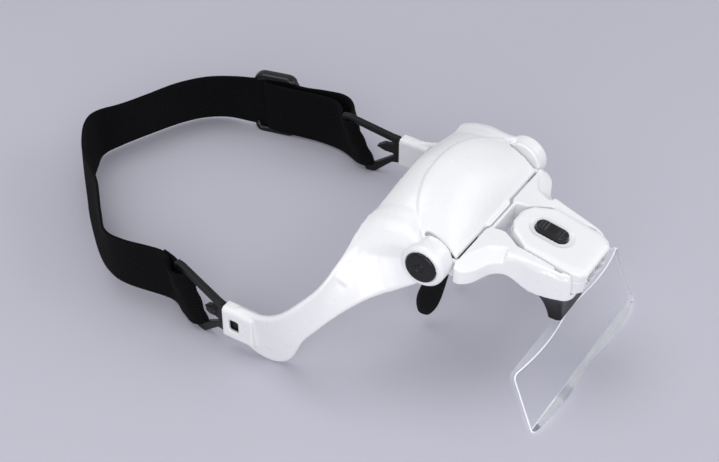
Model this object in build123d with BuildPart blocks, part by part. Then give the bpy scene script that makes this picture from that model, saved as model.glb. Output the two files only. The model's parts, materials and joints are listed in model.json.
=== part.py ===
from build123d import *
from math import asin, cos, degrees, radians, sin
import os

# Head visor magnifier. The origin is on the mirror plane (x = 0), under the axis of the flip-up visor
# (y = 0), on the table (z = 0). The lens looks towards -Y, the strap is towards +Y, and the wearer's
# right is -X. Millimetres.

# Driving dimensions
PIVOT_Z = 64.0
PIVOT_PIN_R = 2.0
RUNNING_GAP = 0.05
PIN_FIT = 0.02
WALL = 2.0

BOSS_IN = 38.0
BOSS_OUT = 47.4
BOSS_R = 10.2
BOSS_BEVEL = 1.5
CAP_R = 7.2
CAP_PROUD = 0.9
CAP_RECESS = 2.4
SCREW_HEAD_R = 4.0
SCREW_HEAD_H = 2.0

SHELL_FRONT_Y = -10.0
SHELL_FRONT_Z = 65.8
SHELL_SIDE_X = 45.0
TAB_HALF = 8.6
TAB_REACH = 1.6
SLOT_IN = 35.2
SLOT_OUT = 37.9

EAR_IN = 35.6
EAR_OUT = 37.5
EAR_R = 6.0
HUB_IN = 31.6
HUB_R = 5.0

LINER_HALF = 28.0
LINER_GAP = 0.4
LINER_WALL = 1.6
LINER_SCREW_X = 20.0
LINER_SCREW_Y = 17.0

SOCKET_X = 74.3
SOCKET_THICK = 7.0
SOCKET_FRONT = 66.0
SOCKET_BACK = 82.0
SOCKET_LOW = 8.0
SOCKET_TOP = 25.0
PLUG_THICK = 2.8
PLUG_LOW = 11.3
PLUG_TOP = 21.7
PLUG_FRONT = 71.5
PLUG_GAP = 0.25

BRACKET_BACK = -11.0
BRACKET_TOP_BACK = 65.5
BRACKET_FLOOR_LOW = 48.0
BRACKET_FLOOR_TOP = 50.0
BRACKET_WING_LOW = 55.5
BAY_HALF = 15.4
BAY_NECK_HALF = 10.0

LAMP_PITCH = 10.0
LAMP_BACK_Y = -20.5
LAMP_TOP_Z = 68.7
LAMP_HALF = 15.0
LAMP_NOSE = 1.0
LAMP_NOSE_HALF = 3.0
LAMP_SHOULDER = 2.2
LAMP_SHOULDER_HALF = 9.2
LAMP_LENGTH = 39.0
LAMP_HEIGHT = 12.3
LAMP_WALL = 1.4
LAMP_ROOF = 1.6
LAMP_SPLIT = 5.6
LAMP_CORNER = 10.8
LAMP_PIN_BACK = 5.0
LAMP_PIN_DOWN = 8.5
LAMP_PIN_R = 1.5

BUTTON_LENGTH = 15.2
BUTTON_WIDTH = 7.0
BUTTON_BACK = 15.7
BUTTON_PROUD = 1.9
BUTTON_GAP = 0.2
FLANGE_LOW = 2.15

CELL_R = 3.95
CELL_H = 3.6
CELL_BACK = 8.0
CELL_DOWN = 6.9

LAMP_PIN_IN = 9.8
LAMP_PIN_OUT = 15.4
LED_XS = (-4.3, 4.3)
BOARD_BACK = 14.8
BOARD_FRONT = 30.6
BOARD_DOWN = 5.2
BOARD_THICK = 0.8
TACT_BACK = 19.0
TACT_HEIGHT = 1.4

LENS_LEAN = degrees(asin(0.395))
LENS_BOTTOM_Y = -56.4
LENS_HEIGHT = 30.2
LENS_TOP_HALF = 49.8
LENS_BOTTOM_HALF = 50.8
LENS_EDGE = 1.8
LENS_BULGE = 6.2
LENS_VALLEY = 2.8
LENS_TAB_HALF = 8.0
LENS_TAB_HEIGHT = 11.0

STRAP_THICK = 1.6
STRAP_WIDTH = 30.0
STRAP_LIFT = 1.8
CLIP_THICK = 3.0
CLIP_TURN = 11.0

PAD_X = 12.0
PAD_Y = 8.6
PAD_PIN_R = 1.3

# Screws of the lens clip, and the lamp's window, screws and battery door
CLIP_SCREW_X = 11.4
CLIP_SCREW_Y = -42.5
WINDOW_HALF = 9.6
WINDOW_LOW = 10.2
WINDOW_TOP = 2.6
LAMP_SCREW_XS = (-9.4, 9.4)
LAMP_SCREW_Y = -12.5
DOOR_HALF = 6.6
DOOR_LENGTH = 14.0
DOOR_THICK = 0.8

# The left temple arm is a leaning blade: a lower and an upper edge point at each station, front to rear
ARM_EDGES = [
    ((41.0, -2, 55.0), (41.0, 2, 73.0)),
    ((47.0, 6, 50.8), (42.5, 14, 74.0)),
    ((55.8, 14, 48.8), (44.5, 25, 71.5)),
    ((63.2, 22, 44.3), (53.6, 32, 62.5)),
    ((68.2, 32, 34.2), (62.8, 34, 56.5)),
    ((70.2, 39, 25.6), (69.0, 38, 48.8)),
    ((70.8, 46, 14.0), (73.8, 45.5, 40.2)),
    ((70.4, 53, 2.6), (75.8, 54, 32.4)),
    ((71.2, 61, 0.1), (75.6, 61.5, 28.2)),
    ((72.8, 70, 4.0), (74.6, 69, 26.2)),
    ((73.8, 78, 9.0), (74.2, 78, 24.8)),
]
ARM_THICK = 3.4

# Side view of a strap clip
CLIP_OUTLINE = [
    (0.6, 9.2),
    (0.6, 23.8),
    (5.0, 24.6),
    (28.0, 31.0),
    (33.2, 31.0),
    (19.2, 0.2),
    (14.4, 0.2),
    (5.0, 8.6),
]
CLIP_WINDOW = [(4.2, 12.4), (4.2, 21.0), (26.2, 27.6), (15.6, 4.6)]
CLIP_TONGUE = [(3.0, 14.0), (3.0, 19.4), (9.0, 19.0), (13.4, 16.6), (9.0, 14.6)]

# Plan of the strap on the table, from the wearer's right clip round the back to the left clip
STRAP_STRAIGHT = [(69.8, 173.0), (76.8, 144.0)]
STRAP_PATH = [
    (-69.8, 102.5),
    (-64.6, 122.0),
    (-68.0, 145.0),
    (-62.5, 161.5),
    (-47.5, 181.0),
    (-30.0, 201.0),
    (-16.0, 212.5),
    (1.0, 219.0),
    (20.0, 214.5),
    (40.0, 206.5),
    (56.5, 197.0),
    (65.0, 186.5),
    (69.8, 173.0),
    (71.25, 167.0),
    (73.3, 158.5),
    (75.35, 150.0),
    (76.8, 144.0),
    (78.4, 121.0),
    (69.8, 102.5),
]
STRAP_STATIONS = 48
SLIDER_AT = 0.48
SLIDER_LENGTH = 19.0
SLIDER_RAIL = 1.5
SLIDER_THICK = 6.0
SLIDER_GAP = 0.5
STRAP_RUN = Vector(*STRAP_STRAIGHT[1]) - Vector(*STRAP_STRAIGHT[0])
STRAP_DIRECTION = STRAP_RUN.normalized()
SLIDER_RUN = STRAP_RUN.length

# Shared planes
PIVOT_RIGHT = Plane(origin=(0, 0, PIVOT_Z), x_dir=(0, 1, 0), z_dir=(1, 0, 0))
LAMP = Plane(
    origin=(0, LAMP_BACK_Y, LAMP_TOP_Z),
    x_dir=(1, 0, 0),
    z_dir=(0, -sin(radians(LAMP_PITCH)), cos(radians(LAMP_PITCH))),
)
LENS_BASE = Plane(
    origin=(0, LENS_BOTTOM_Y, 0),
    x_dir=(1, 0, 0),
    z_dir=(0, sin(radians(LENS_LEAN)), cos(radians(LENS_LEAN))),
)


def save(part, name):
    part.label = name
    export_step(part, f"parts/{name}.step")


def side_plane(x):
    return Plane(origin=(x, 0, 0), x_dir=(0, 1, 0), z_dir=(1, 0, 0))


def pivot_plane(x):
    return PIVOT_RIGHT.offset(x)


def lamp_plane(height):
    return LAMP.offset(height)


def blend(start, end, share):
    return start + (end - start) * share


def brow_height(x, share):
    """Height of the brow shell's outer skin, at a share of the way from its front edge to its rear."""
    side = min(abs(x) / SHELL_SIDE_X, 1.0)
    rear_z = 79.0 - 10.5 * side**1.5
    crown = 10.6 - 7.6 * side**3
    return blend(SHELL_FRONT_Z, rear_z, share) + crown * 4 * share * (1 - share)


def brow_depth(x, share):
    rear_y = 29.5 + 2.0 * (min(abs(x) / SHELL_SIDE_X, 1.0)) ** 2
    return blend(SHELL_FRONT_Y, rear_y, share)


def brow_strip(x, first, last, top, bottom):
    """Profile between two depths under the outer skin, from one share of the depth to another."""
    shares = [blend(first, last, step / 6) for step in range(7)]
    upper = [(brow_depth(x, share), brow_height(x, share) - top) for share in shares]
    lower = [(brow_depth(x, share), brow_height(x, share) - bottom) for share in reversed(shares)]
    with BuildLine() as strip:
        Spline(*upper)
        Line(upper[-1], lower[0])
        Spline(*lower)
        Line(lower[-1], upper[0])
    return strip.line


def arm_stations():
    """Planes across the arm, with x from the bottom edge to the top, and the arm's height at each."""
    stations = []
    for index, (low, top) in enumerate(ARM_EDGES):
        before = ARM_EDGES[max(index - 1, 0)]
        after = ARM_EDGES[min(index + 1, len(ARM_EDGES) - 1)]
        ahead = Vector(*after[0]) + Vector(*after[1]) - Vector(*before[0]) - Vector(*before[1])
        rise = Vector(*top) - Vector(*low)
        normal = ahead - rise * (ahead.dot(rise) / rise.dot(rise))
        plane = Plane(origin=Vector(*low) + rise * 0.5, x_dir=rise, z_dir=normal)
        stations.append((plane, rise.length))
    return stations


def build_brow_shell():
    """White moulding: brow shell with its dome, boss barrels, temple arms and strap sockets."""
    with BuildPart() as shell:
        for x in (0, 12, 24, 34, 40, SHELL_SIDE_X):
            with BuildSketch(side_plane(x)):
                make_face(brow_strip(x, 0.0, 1.0, 0.0, WALL))
        loft()
        for plane, height in arm_stations():
            with BuildSketch(plane):
                RectangleRounded(height, ARM_THICK, ARM_THICK * 0.45)
        loft()
        # Boss barrel of the pivot
        with BuildSketch(pivot_plane(BOSS_IN)):
            Circle(BOSS_R)
        extrude(amount=BOSS_OUT - BOSS_BEVEL - BOSS_IN)
        with BuildSketch(pivot_plane(BOSS_OUT - BOSS_BEVEL)):
            Circle(BOSS_R)
        extrude(amount=BOSS_BEVEL, taper=40)
        # Step in the front edge that steadies the visor at its middle
        with BuildSketch(Plane.XY.offset(SHELL_FRONT_Z - WALL + 0.1)):
            with BuildLine():
                Polyline(
                    (0, SHELL_FRONT_Y - TAB_REACH),
                    (TAB_HALF, SHELL_FRONT_Y - TAB_REACH),
                    (TAB_HALF + 2.6, SHELL_FRONT_Y + 0.2),
                    (0, SHELL_FRONT_Y + 0.2),
                    close=True,
                )
            make_face()
        extrude(amount=WALL - 0.2)
        # Strap socket at the end of the arm
        with BuildSketch(Plane.XZ.offset(-SOCKET_FRONT)):
            with Locations((SOCKET_X, (SOCKET_LOW + SOCKET_TOP) / 2)):
                RectangleRounded(SOCKET_THICK, SOCKET_TOP - SOCKET_LOW, 2.2)
        extrude(amount=-(SOCKET_BACK - SOCKET_FRONT))
        # Cavity for the clip's plug, and the window that shows its latch
        plug_middle = (PLUG_LOW + PLUG_TOP) / 2
        with BuildSketch(Plane.XZ.offset(-(PLUG_FRONT - 1.0))):
            with Locations((SOCKET_X, plug_middle)):
                Rectangle(PLUG_THICK + 2 * PLUG_GAP, PLUG_TOP - PLUG_LOW + 2 * PLUG_GAP)
        extrude(amount=-(SOCKET_BACK - PLUG_FRONT + 2.0), mode=Mode.SUBTRACT)
        with BuildSketch(side_plane(SOCKET_X)):
            with Locations((PLUG_FRONT + 4.5, plug_middle)):
                RectangleRounded(5.2, 6.4, 1.0)
        extrude(amount=SOCKET_THICK, mode=Mode.SUBTRACT)
        # Bore and stepped recess for the pivot screw and its cap
        with BuildSketch(pivot_plane(BOSS_IN - 1.0)):
            Circle(PIVOT_PIN_R + PIN_FIT)
        extrude(amount=BOSS_OUT - BOSS_IN + 2.0, mode=Mode.SUBTRACT)
        with BuildSketch(pivot_plane(BOSS_OUT - CAP_RECESS)):
            Circle(CAP_R + PIN_FIT)
        extrude(amount=CAP_RECESS + 4.0, mode=Mode.SUBTRACT)
        with BuildSketch(pivot_plane(BOSS_OUT - CAP_RECESS - SCREW_HEAD_H)):
            Circle(SCREW_HEAD_R + PIN_FIT)
        extrude(amount=SCREW_HEAD_H + 1.0, mode=Mode.SUBTRACT)
        # Free space for the bracket's ear, and the slot that lets it swing up
        with BuildSketch(side_plane(SLOT_IN)):
            with BuildLine():
                Polyline(
                    (SHELL_FRONT_Y - 3.0, SHELL_FRONT_Z - 14.0),
                    (SHELL_FRONT_Y - 3.0, SHELL_FRONT_Z + 12.0),
                    (0.0, SHELL_FRONT_Z + 12.0),
                    (8.5, PIVOT_Z + 4.0),
                    (8.5, PIVOT_Z - 14.0),
                    close=True,
                )
            make_face()
        extrude(amount=SLOT_OUT - SLOT_IN + 0.1, mode=Mode.SUBTRACT)
        # Blind hole for the liner's screw
        with BuildSketch(Plane.XY.offset(PIVOT_Z)):
            with Locations((LINER_SCREW_X, LINER_SCREW_Y)):
                Circle(0.9)
        screw_share = (LINER_SCREW_Y - SHELL_FRONT_Y) / (brow_depth(LINER_SCREW_X, 1) - SHELL_FRONT_Y)
        hole_top = brow_height(LINER_SCREW_X, screw_share) - 0.7
        extrude(amount=hole_top - PIVOT_Z, mode=Mode.SUBTRACT)
        mirror(about=Plane.YZ)
    save(shell.part, "brow_shell")
    return hole_top


def build_brow_liner(hole_top):
    """Inner cover that closes the dome from below, and the two screws that hold it."""
    top = WALL + LINER_GAP
    with BuildPart() as liner:
        for x in (-LINER_HALF, -14, 0, 14, LINER_HALF):
            with BuildSketch(side_plane(x)):
                make_face(brow_strip(x, 0.42, 0.95, top, top + LINER_WALL))
        loft()
        with Locations(*[(side * LINER_SCREW_X, LINER_SCREW_Y, 70) for side in (-1, 1)]):
            Cylinder(1.1, 30, mode=Mode.SUBTRACT)
    save(liner.part, "brow_liner")
    head_top = hole_top - WALL - LINER_GAP - LINER_WALL - 0.6
    with BuildPart() as screws:
        with BuildSketch(Plane.XY.offset(head_top - 1.2)):
            with Locations((-LINER_SCREW_X, LINER_SCREW_Y), (LINER_SCREW_X, LINER_SCREW_Y)):
                Circle(1.9)
        extrude(amount=1.2)
        with BuildSketch(Plane.XY.offset(head_top)):
            with Locations((-LINER_SCREW_X, LINER_SCREW_Y), (LINER_SCREW_X, LINER_SCREW_Y)):
                Circle(0.88)
        extrude(amount=hole_top - head_top - 0.2)
        slot_low = head_top - 1.2
        with Locations((-LINER_SCREW_X, LINER_SCREW_Y, slot_low), (LINER_SCREW_X, LINER_SCREW_Y, slot_low)):
            Box(2.4, 0.5, 0.9, mode=Mode.SUBTRACT)
    save(screws.part, "liner_screws")


def build_pivot(side, name):
    """Shoulder screw, cap and friction washer of one side."""
    with BuildPart() as screw:
        head_in = BOSS_OUT - CAP_RECESS - SCREW_HEAD_H
        with BuildSketch(pivot_plane(side * (HUB_IN - 1.6))):
            Circle(PIVOT_PIN_R)
        extrude(amount=side * (head_in - HUB_IN + 1.6))
        with BuildSketch(pivot_plane(side * head_in)):
            Circle(SCREW_HEAD_R)
        extrude(amount=side * (SCREW_HEAD_H - 0.1))
        with BuildSketch(pivot_plane(side * (head_in + 1.0))):
            Rectangle(5.4, 0.9)
            Rectangle(0.9, 5.4)
        extrude(amount=side * SCREW_HEAD_H, mode=Mode.SUBTRACT)
    save(screw.part, f"pivot_screw_{name}")
    with BuildPart() as cap:
        with BuildSketch(pivot_plane(side * (BOSS_OUT - CAP_RECESS + 0.05))):
            Circle(CAP_R)
        extrude(amount=side * (CAP_RECESS + CAP_PROUD - 0.05))
        rim = cap.edges().filter_by(GeomType.CIRCLE).sort_by(Axis.X)[-1 if side > 0 else 0]
        fillet(rim, 0.8)
        with BuildSketch(pivot_plane(side * (BOSS_OUT + CAP_PROUD - 0.4))):
            Circle(2.2)
            Circle(1.6, mode=Mode.SUBTRACT)
        extrude(amount=side * 1.0, mode=Mode.SUBTRACT)
    save(cap.part, f"pivot_cap_{name}")


def build_pivot_rings():
    """Friction washers between boss and ear, and the retaining rings on the screws' inner ends."""
    with BuildPart() as washers:
        for side in (-1, 1):
            with BuildSketch(pivot_plane(side * (BOSS_IN - 0.35))):
                Circle(5.0)
                Circle(PIVOT_PIN_R + PIN_FIT, mode=Mode.SUBTRACT)
            extrude(amount=side * 0.35)
    save(washers.part, "pivot_washers")
    with BuildPart() as rings:
        for side in (-1, 1):
            with BuildSketch(pivot_plane(side * (HUB_IN - 0.9))):
                Circle(3.6)
                Circle(PIVOT_PIN_R + PIN_FIT, mode=Mode.SUBTRACT)
            extrude(amount=side * 0.7)
    save(rings.part, "retaining_rings")


def build_nose_rest():
    """Black carrier under the liner, with a soft pad on a pin at each end."""
    with BuildPart() as bridge:
        with BuildSketch(Plane.XY.offset(73.0)):
            with Locations((0, 11.0)):
                RectangleRounded(16, 6, 1.5)
        with BuildSketch(Plane.XY.offset(60.0)):
            with Locations((0, 8.5)):
                RectangleRounded(9, 3.4, 1.2)
        with BuildSketch(Plane.XY.offset(43.0)):
            with Locations((0, PAD_Y)):
                RectangleRounded(9, 3.4, 1.2)
        loft()
        with BuildSketch(Plane.XY.offset(40.4)):
            with Locations((0, PAD_Y)):
                SlotCenterToCenter(2 * PAD_X, 5.2)
        extrude(amount=3.6)
        with BuildSketch(Plane.XY.offset(32.0)):
            with Locations((-PAD_X, PAD_Y), (PAD_X, PAD_Y)):
                Circle(PAD_PIN_R)
        extrude(amount=9.0)
    save(bridge.part, "nose_bridge")
    for side, name in ((-1, "right"), (1, "left")):
        with BuildPart() as pad:
            for height, drift, back, length, thick in (
                (39.6, 0.0, 0.0, 7.0, 6.2),
                (31.0, 0.6, 1.4, 8.6, 6.2),
                (21.0, 1.6, 4.2, 11.0, 5.4),
                (12.0, 2.4, 6.4, 10.4, 4.8),
                (6.5, 2.8, 7.4, 5.6, 3.2),
            ):
                with BuildSketch(Plane.XY.offset(height)):
                    with Locations((side * (PAD_X + drift), PAD_Y + back)):
                        Ellipse(thick / 2, length / 2)
            loft()
            with BuildSketch(Plane.XY.offset(31.5)):
                with Locations((side * PAD_X, PAD_Y)):
                    Circle(PAD_PIN_R + RUNNING_GAP)
            extrude(amount=12, mode=Mode.SUBTRACT)
        save(pad.part, f"nose_pad_{name}")


def bracket_outline():
    """Right half of the bracket's plan: wide wings that sweep in to the lamp's cradle."""
    with BuildLine() as outline:
        Polyline((0, -12.4), (TAB_HALF + 0.8, -12.4), (TAB_HALF + 3.6, BRACKET_BACK), (40.0, BRACKET_BACK))
        Line((40.0, BRACKET_BACK), (40.0, -13.6))
        Spline((40.0, -13.6), (35.0, -18.6), (27.0, -22.3), (22.6, -28.5), (20.6, -38.5), (18.6, -49.5))
        Spline((18.6, -49.5), (16.8, -53.2), (13.2, -54.6))
        Line((13.2, -54.6), (0, -54.6))
        Line((0, -54.6), (0, -12.4))
    return outline.line


def bay_outline(half, neck):
    with BuildLine() as outline:
        Polyline(
            (0, -13.8),
            (neck, -13.8),
            (neck, -19.2),
            (half, -27.8),
            (half, -70.0),
            (0, -70.0),
            close=True,
        )
    return outline.line


def build_visor_bracket():
    """White bracket: ears on the pivot, wave-shaped wings and a cradle for the lamp."""
    with BuildPart() as bracket:
        with BuildSketch(Plane.XY.offset(BRACKET_FLOOR_LOW)):
            make_face(bracket_outline())
        extrude(amount=22)
        with BuildSketch(side_plane(-1)):
            with BuildLine():
                Line((BRACKET_BACK, BRACKET_WING_LOW), (BRACKET_BACK, BRACKET_TOP_BACK))
                Spline(
                    (BRACKET_BACK, BRACKET_TOP_BACK),
                    (-20.0, 66.3),
                    (-28.0, 65.9),
                    (-38.0, 64.2),
                    (-50.0, 61.8),
                    (-60.0, 60.0),
                )
                Line((-60.0, 60.0), (-60.0, BRACKET_FLOOR_LOW))
                Line((-60.0, BRACKET_FLOOR_LOW), (-40.0, BRACKET_FLOOR_LOW))
                Spline(
                    (-40.0, BRACKET_FLOOR_LOW),
                    (-33.0, 50.4),
                    (-27.5, 54.3),
                    (-21.0, BRACKET_WING_LOW),
                    tangents=((1, 0), (1, 0)),
                )
                Line((-21.0, BRACKET_WING_LOW), (BRACKET_BACK, BRACKET_WING_LOW))
            make_face()
        extrude(amount=60, mode=Mode.INTERSECT)
        # Ear and hub on the pivot
        with BuildSketch(pivot_plane(EAR_IN)):
            Circle(EAR_R)
            with BuildLine():
                Polyline((0, -EAR_R), (-12.4, -8.2), (-12.4, 0.9), (0, 1.2), close=True)
            make_face()
        extrude(amount=EAR_OUT - EAR_IN)
        with BuildSketch(pivot_plane(HUB_IN)):
            Circle(HUB_R)
        extrude(amount=EAR_IN - HUB_IN)
        with BuildSketch(pivot_plane(HUB_IN - 1)):
            Circle(PIVOT_PIN_R + RUNNING_GAP)
        extrude(amount=EAR_OUT - HUB_IN + 2, mode=Mode.SUBTRACT)
        # Cradle for the lamp, open above and in front, with a floor under the lamp's front half
        with BuildSketch(Plane.XY.offset(BRACKET_FLOOR_TOP)):
            make_face(bay_outline(BAY_HALF, BAY_NECK_HALF))
        extrude(amount=22, mode=Mode.SUBTRACT)
        with BuildSketch(Plane.XY.offset(BRACKET_FLOOR_LOW - 1)):
            with Locations((0, -24.0)):
                Rectangle(2 * 8.4, 22.0)
        extrude(amount=4, mode=Mode.SUBTRACT)
        # Hollow under the wing
        with BuildSketch(Plane.XY.offset(BRACKET_FLOOR_LOW - 1)):
            with BuildLine():
                Polyline(
                    (18.2, -13.2),
                    (34.0, -13.2),
                    (34.0, -16.4),
                    (26.2, -20.0),
                    (20.4, -26.4),
                    (18.2, -28.4),
                    close=True,
                )
            make_face()
        extrude(amount=15.2, mode=Mode.SUBTRACT)
        # Holes for the lamp's pins and the clip's screws
        pin = LAMP.from_local_coords(Vector(0, -LAMP_PIN_BACK, -LAMP_PIN_DOWN))
        with BuildSketch(Plane(origin=(BAY_NECK_HALF, pin.Y, pin.Z), x_dir=(0, 1, 0), z_dir=(1, 0, 0))):
            Circle(LAMP_PIN_R + RUNNING_GAP)
        extrude(amount=LAMP_PIN_OUT + 0.3 - BAY_NECK_HALF, mode=Mode.SUBTRACT)
        with Locations((CLIP_SCREW_X, CLIP_SCREW_Y, BRACKET_FLOOR_LOW)):
            Cylinder(1.1, 8, mode=Mode.SUBTRACT)
        mirror(about=Plane.YZ)
    save(bracket.part, "visor_bracket")


def build_lens_clip():
    """Black funnel under the cradle that takes the lens tab, with its screws and leaf spring."""
    with BuildPart() as clip:
        with BuildSketch(Plane.XY.offset(28.9)):
            with Locations((0, -45.6)):
                RectangleRounded(21.0, 6.6, 1.2)
        with BuildSketch(Plane.XY.offset(36.0)):
            with Locations((0, -44.8)):
                RectangleRounded(24.0, 8.4, 1.4)
        with BuildSketch(Plane.XY.offset(BRACKET_FLOOR_LOW)):
            with Locations((0, -43.6)):
                RectangleRounded(36.0, 16.0, 2.0)
        loft()
        with BuildSketch(LENS_BASE.offset(LENS_HEIGHT)):
            with Locations((0, -1.5)):
                Rectangle(2 * LENS_TAB_HALF + 0.4, 2.5)
        extrude(amount=LENS_TAB_HEIGHT + 1.0, mode=Mode.SUBTRACT)
        with BuildSketch(LENS_BASE.offset(LENS_HEIGHT - 8.0)):
            Rectangle(60.0, 30.0)
        extrude(amount=8.3, mode=Mode.SUBTRACT)
        with BuildSketch(LENS_BASE.offset(LENS_HEIGHT + 2.0)):
            with Locations((0, -3.0)):
                Rectangle(8.6, 0.9)
        extrude(amount=LENS_TAB_HEIGHT - 1.0, mode=Mode.SUBTRACT)
        with Locations(*[(side * CLIP_SCREW_X, CLIP_SCREW_Y, BRACKET_FLOOR_LOW) for side in (-1, 1)]):
            Cylinder(1.02, 9, mode=Mode.SUBTRACT)
    save(clip.part, "lens_clip")
    with BuildPart() as screws:
        for side in (-1, 1):
            with BuildSketch(Plane.XY.offset(BRACKET_FLOOR_LOW - 4.0)):
                with Locations((side * CLIP_SCREW_X, CLIP_SCREW_Y)):
                    Circle(1.0)
            extrude(amount=4.0 + BRACKET_FLOOR_TOP - BRACKET_FLOOR_LOW)
            with BuildSketch(Plane.XY.offset(BRACKET_FLOOR_TOP)):
                with Locations((side * CLIP_SCREW_X, CLIP_SCREW_Y)):
                    Circle(1.6)
            extrude(amount=0.9)
            with BuildSketch(Plane.XY.offset(BRACKET_FLOOR_TOP + 0.4)):
                with Locations((side * CLIP_SCREW_X, CLIP_SCREW_Y)):
                    Rectangle(2.0, 0.4)
                    Rectangle(0.4, 2.0)
            extrude(amount=1.0, mode=Mode.SUBTRACT)
    save(screws.part, "clip_screws")
    with BuildPart() as spring:
        with BuildSketch(LENS_BASE.offset(LENS_HEIGHT + 2.2)):
            with Locations((0, -3.12)):
                Rectangle(8.0, 0.35)
        extrude(amount=LENS_TAB_HEIGHT - 1.6)
    save(spring.part, "lens_spring")


def build_lens():
    """Clear binocular lens: flat back, two bulging lobes and a tab for the clip."""
    half = LENS_BOTTOM_HALF
    with BuildPart() as lens:
        with BuildSketch(LENS_BASE):
            with BuildLine():
                Line((-half, 0), (half, 0))
                Line((half, 0), (half, -LENS_EDGE))
                ThreePointArc((half, -LENS_EDGE), (half * 0.5, -LENS_BULGE), (0, -LENS_VALLEY))
                ThreePointArc((0, -LENS_VALLEY), (-half * 0.5, -LENS_BULGE), (-half, -LENS_EDGE))
                Line((-half, -LENS_EDGE), (-half, 0))
            make_face()
        extrude(amount=LENS_HEIGHT)
        face_plane = Plane(origin=LENS_BASE.origin, x_dir=(1, 0, 0), z_dir=LENS_BASE.y_dir * -1)
        with BuildSketch(face_plane.offset(-5)) as outline:
            with BuildLine():
                Polyline(
                    (-half, 0),
                    (half, 0),
                    (LENS_TOP_HALF, LENS_HEIGHT),
                    (-LENS_TOP_HALF, LENS_HEIGHT),
                    close=True,
                )
            make_face()
            fillet(outline.vertices(), 2.6)
        extrude(amount=20, mode=Mode.INTERSECT)
        with BuildSketch(LENS_BASE.offset(LENS_HEIGHT - 1.0)):
            with Locations((0, -1.5)):
                Rectangle(2 * LENS_TAB_HALF, 2.2)
        extrude(amount=LENS_TAB_HEIGHT + 1.0)
    save(lens.part, "lens")


def lamp_outline(inset):
    """Lamp's plan in its own plane: a blunt nose and cut corners at the rear, rounded corners in front."""
    right = [
        (LAMP_NOSE_HALF, LAMP_NOSE - inset),
        (LAMP_SHOULDER_HALF - 0.7 * inset, -LAMP_SHOULDER - 0.7 * inset),
        (LAMP_HALF - inset, -LAMP_CORNER - 0.3 * inset),
        (LAMP_HALF - inset, -LAMP_LENGTH + 5.6),
        (LAMP_HALF - 1.5 - 0.7 * inset, -LAMP_LENGTH + 2.0 + 0.7 * inset),
        (LAMP_HALF - 4.6, -LAMP_LENGTH + inset),
    ]
    left = [(-x, y) for x, y in reversed(right)]
    with BuildLine() as outline:
        Polyline(*right, *left, close=True)
    return outline.line


def lamp_front_plane(back):
    """Plane across the lamp's beam, a distance behind its front face, looking to the rear."""
    middle = Vector(0, back - LAMP_LENGTH, -(WINDOW_LOW + WINDOW_TOP) / 2)
    return Plane(origin=LAMP.from_local_coords(middle), x_dir=(1, 0, 0), z_dir=LAMP.y_dir)


def lamp_side_plane(x, back, down):
    """Plane across the lamp's width at one point of its side view."""
    return Plane(origin=LAMP.from_local_coords(Vector(x, -back, -down)), x_dir=LAMP.y_dir, z_dir=(1, 0, 0))


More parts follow.
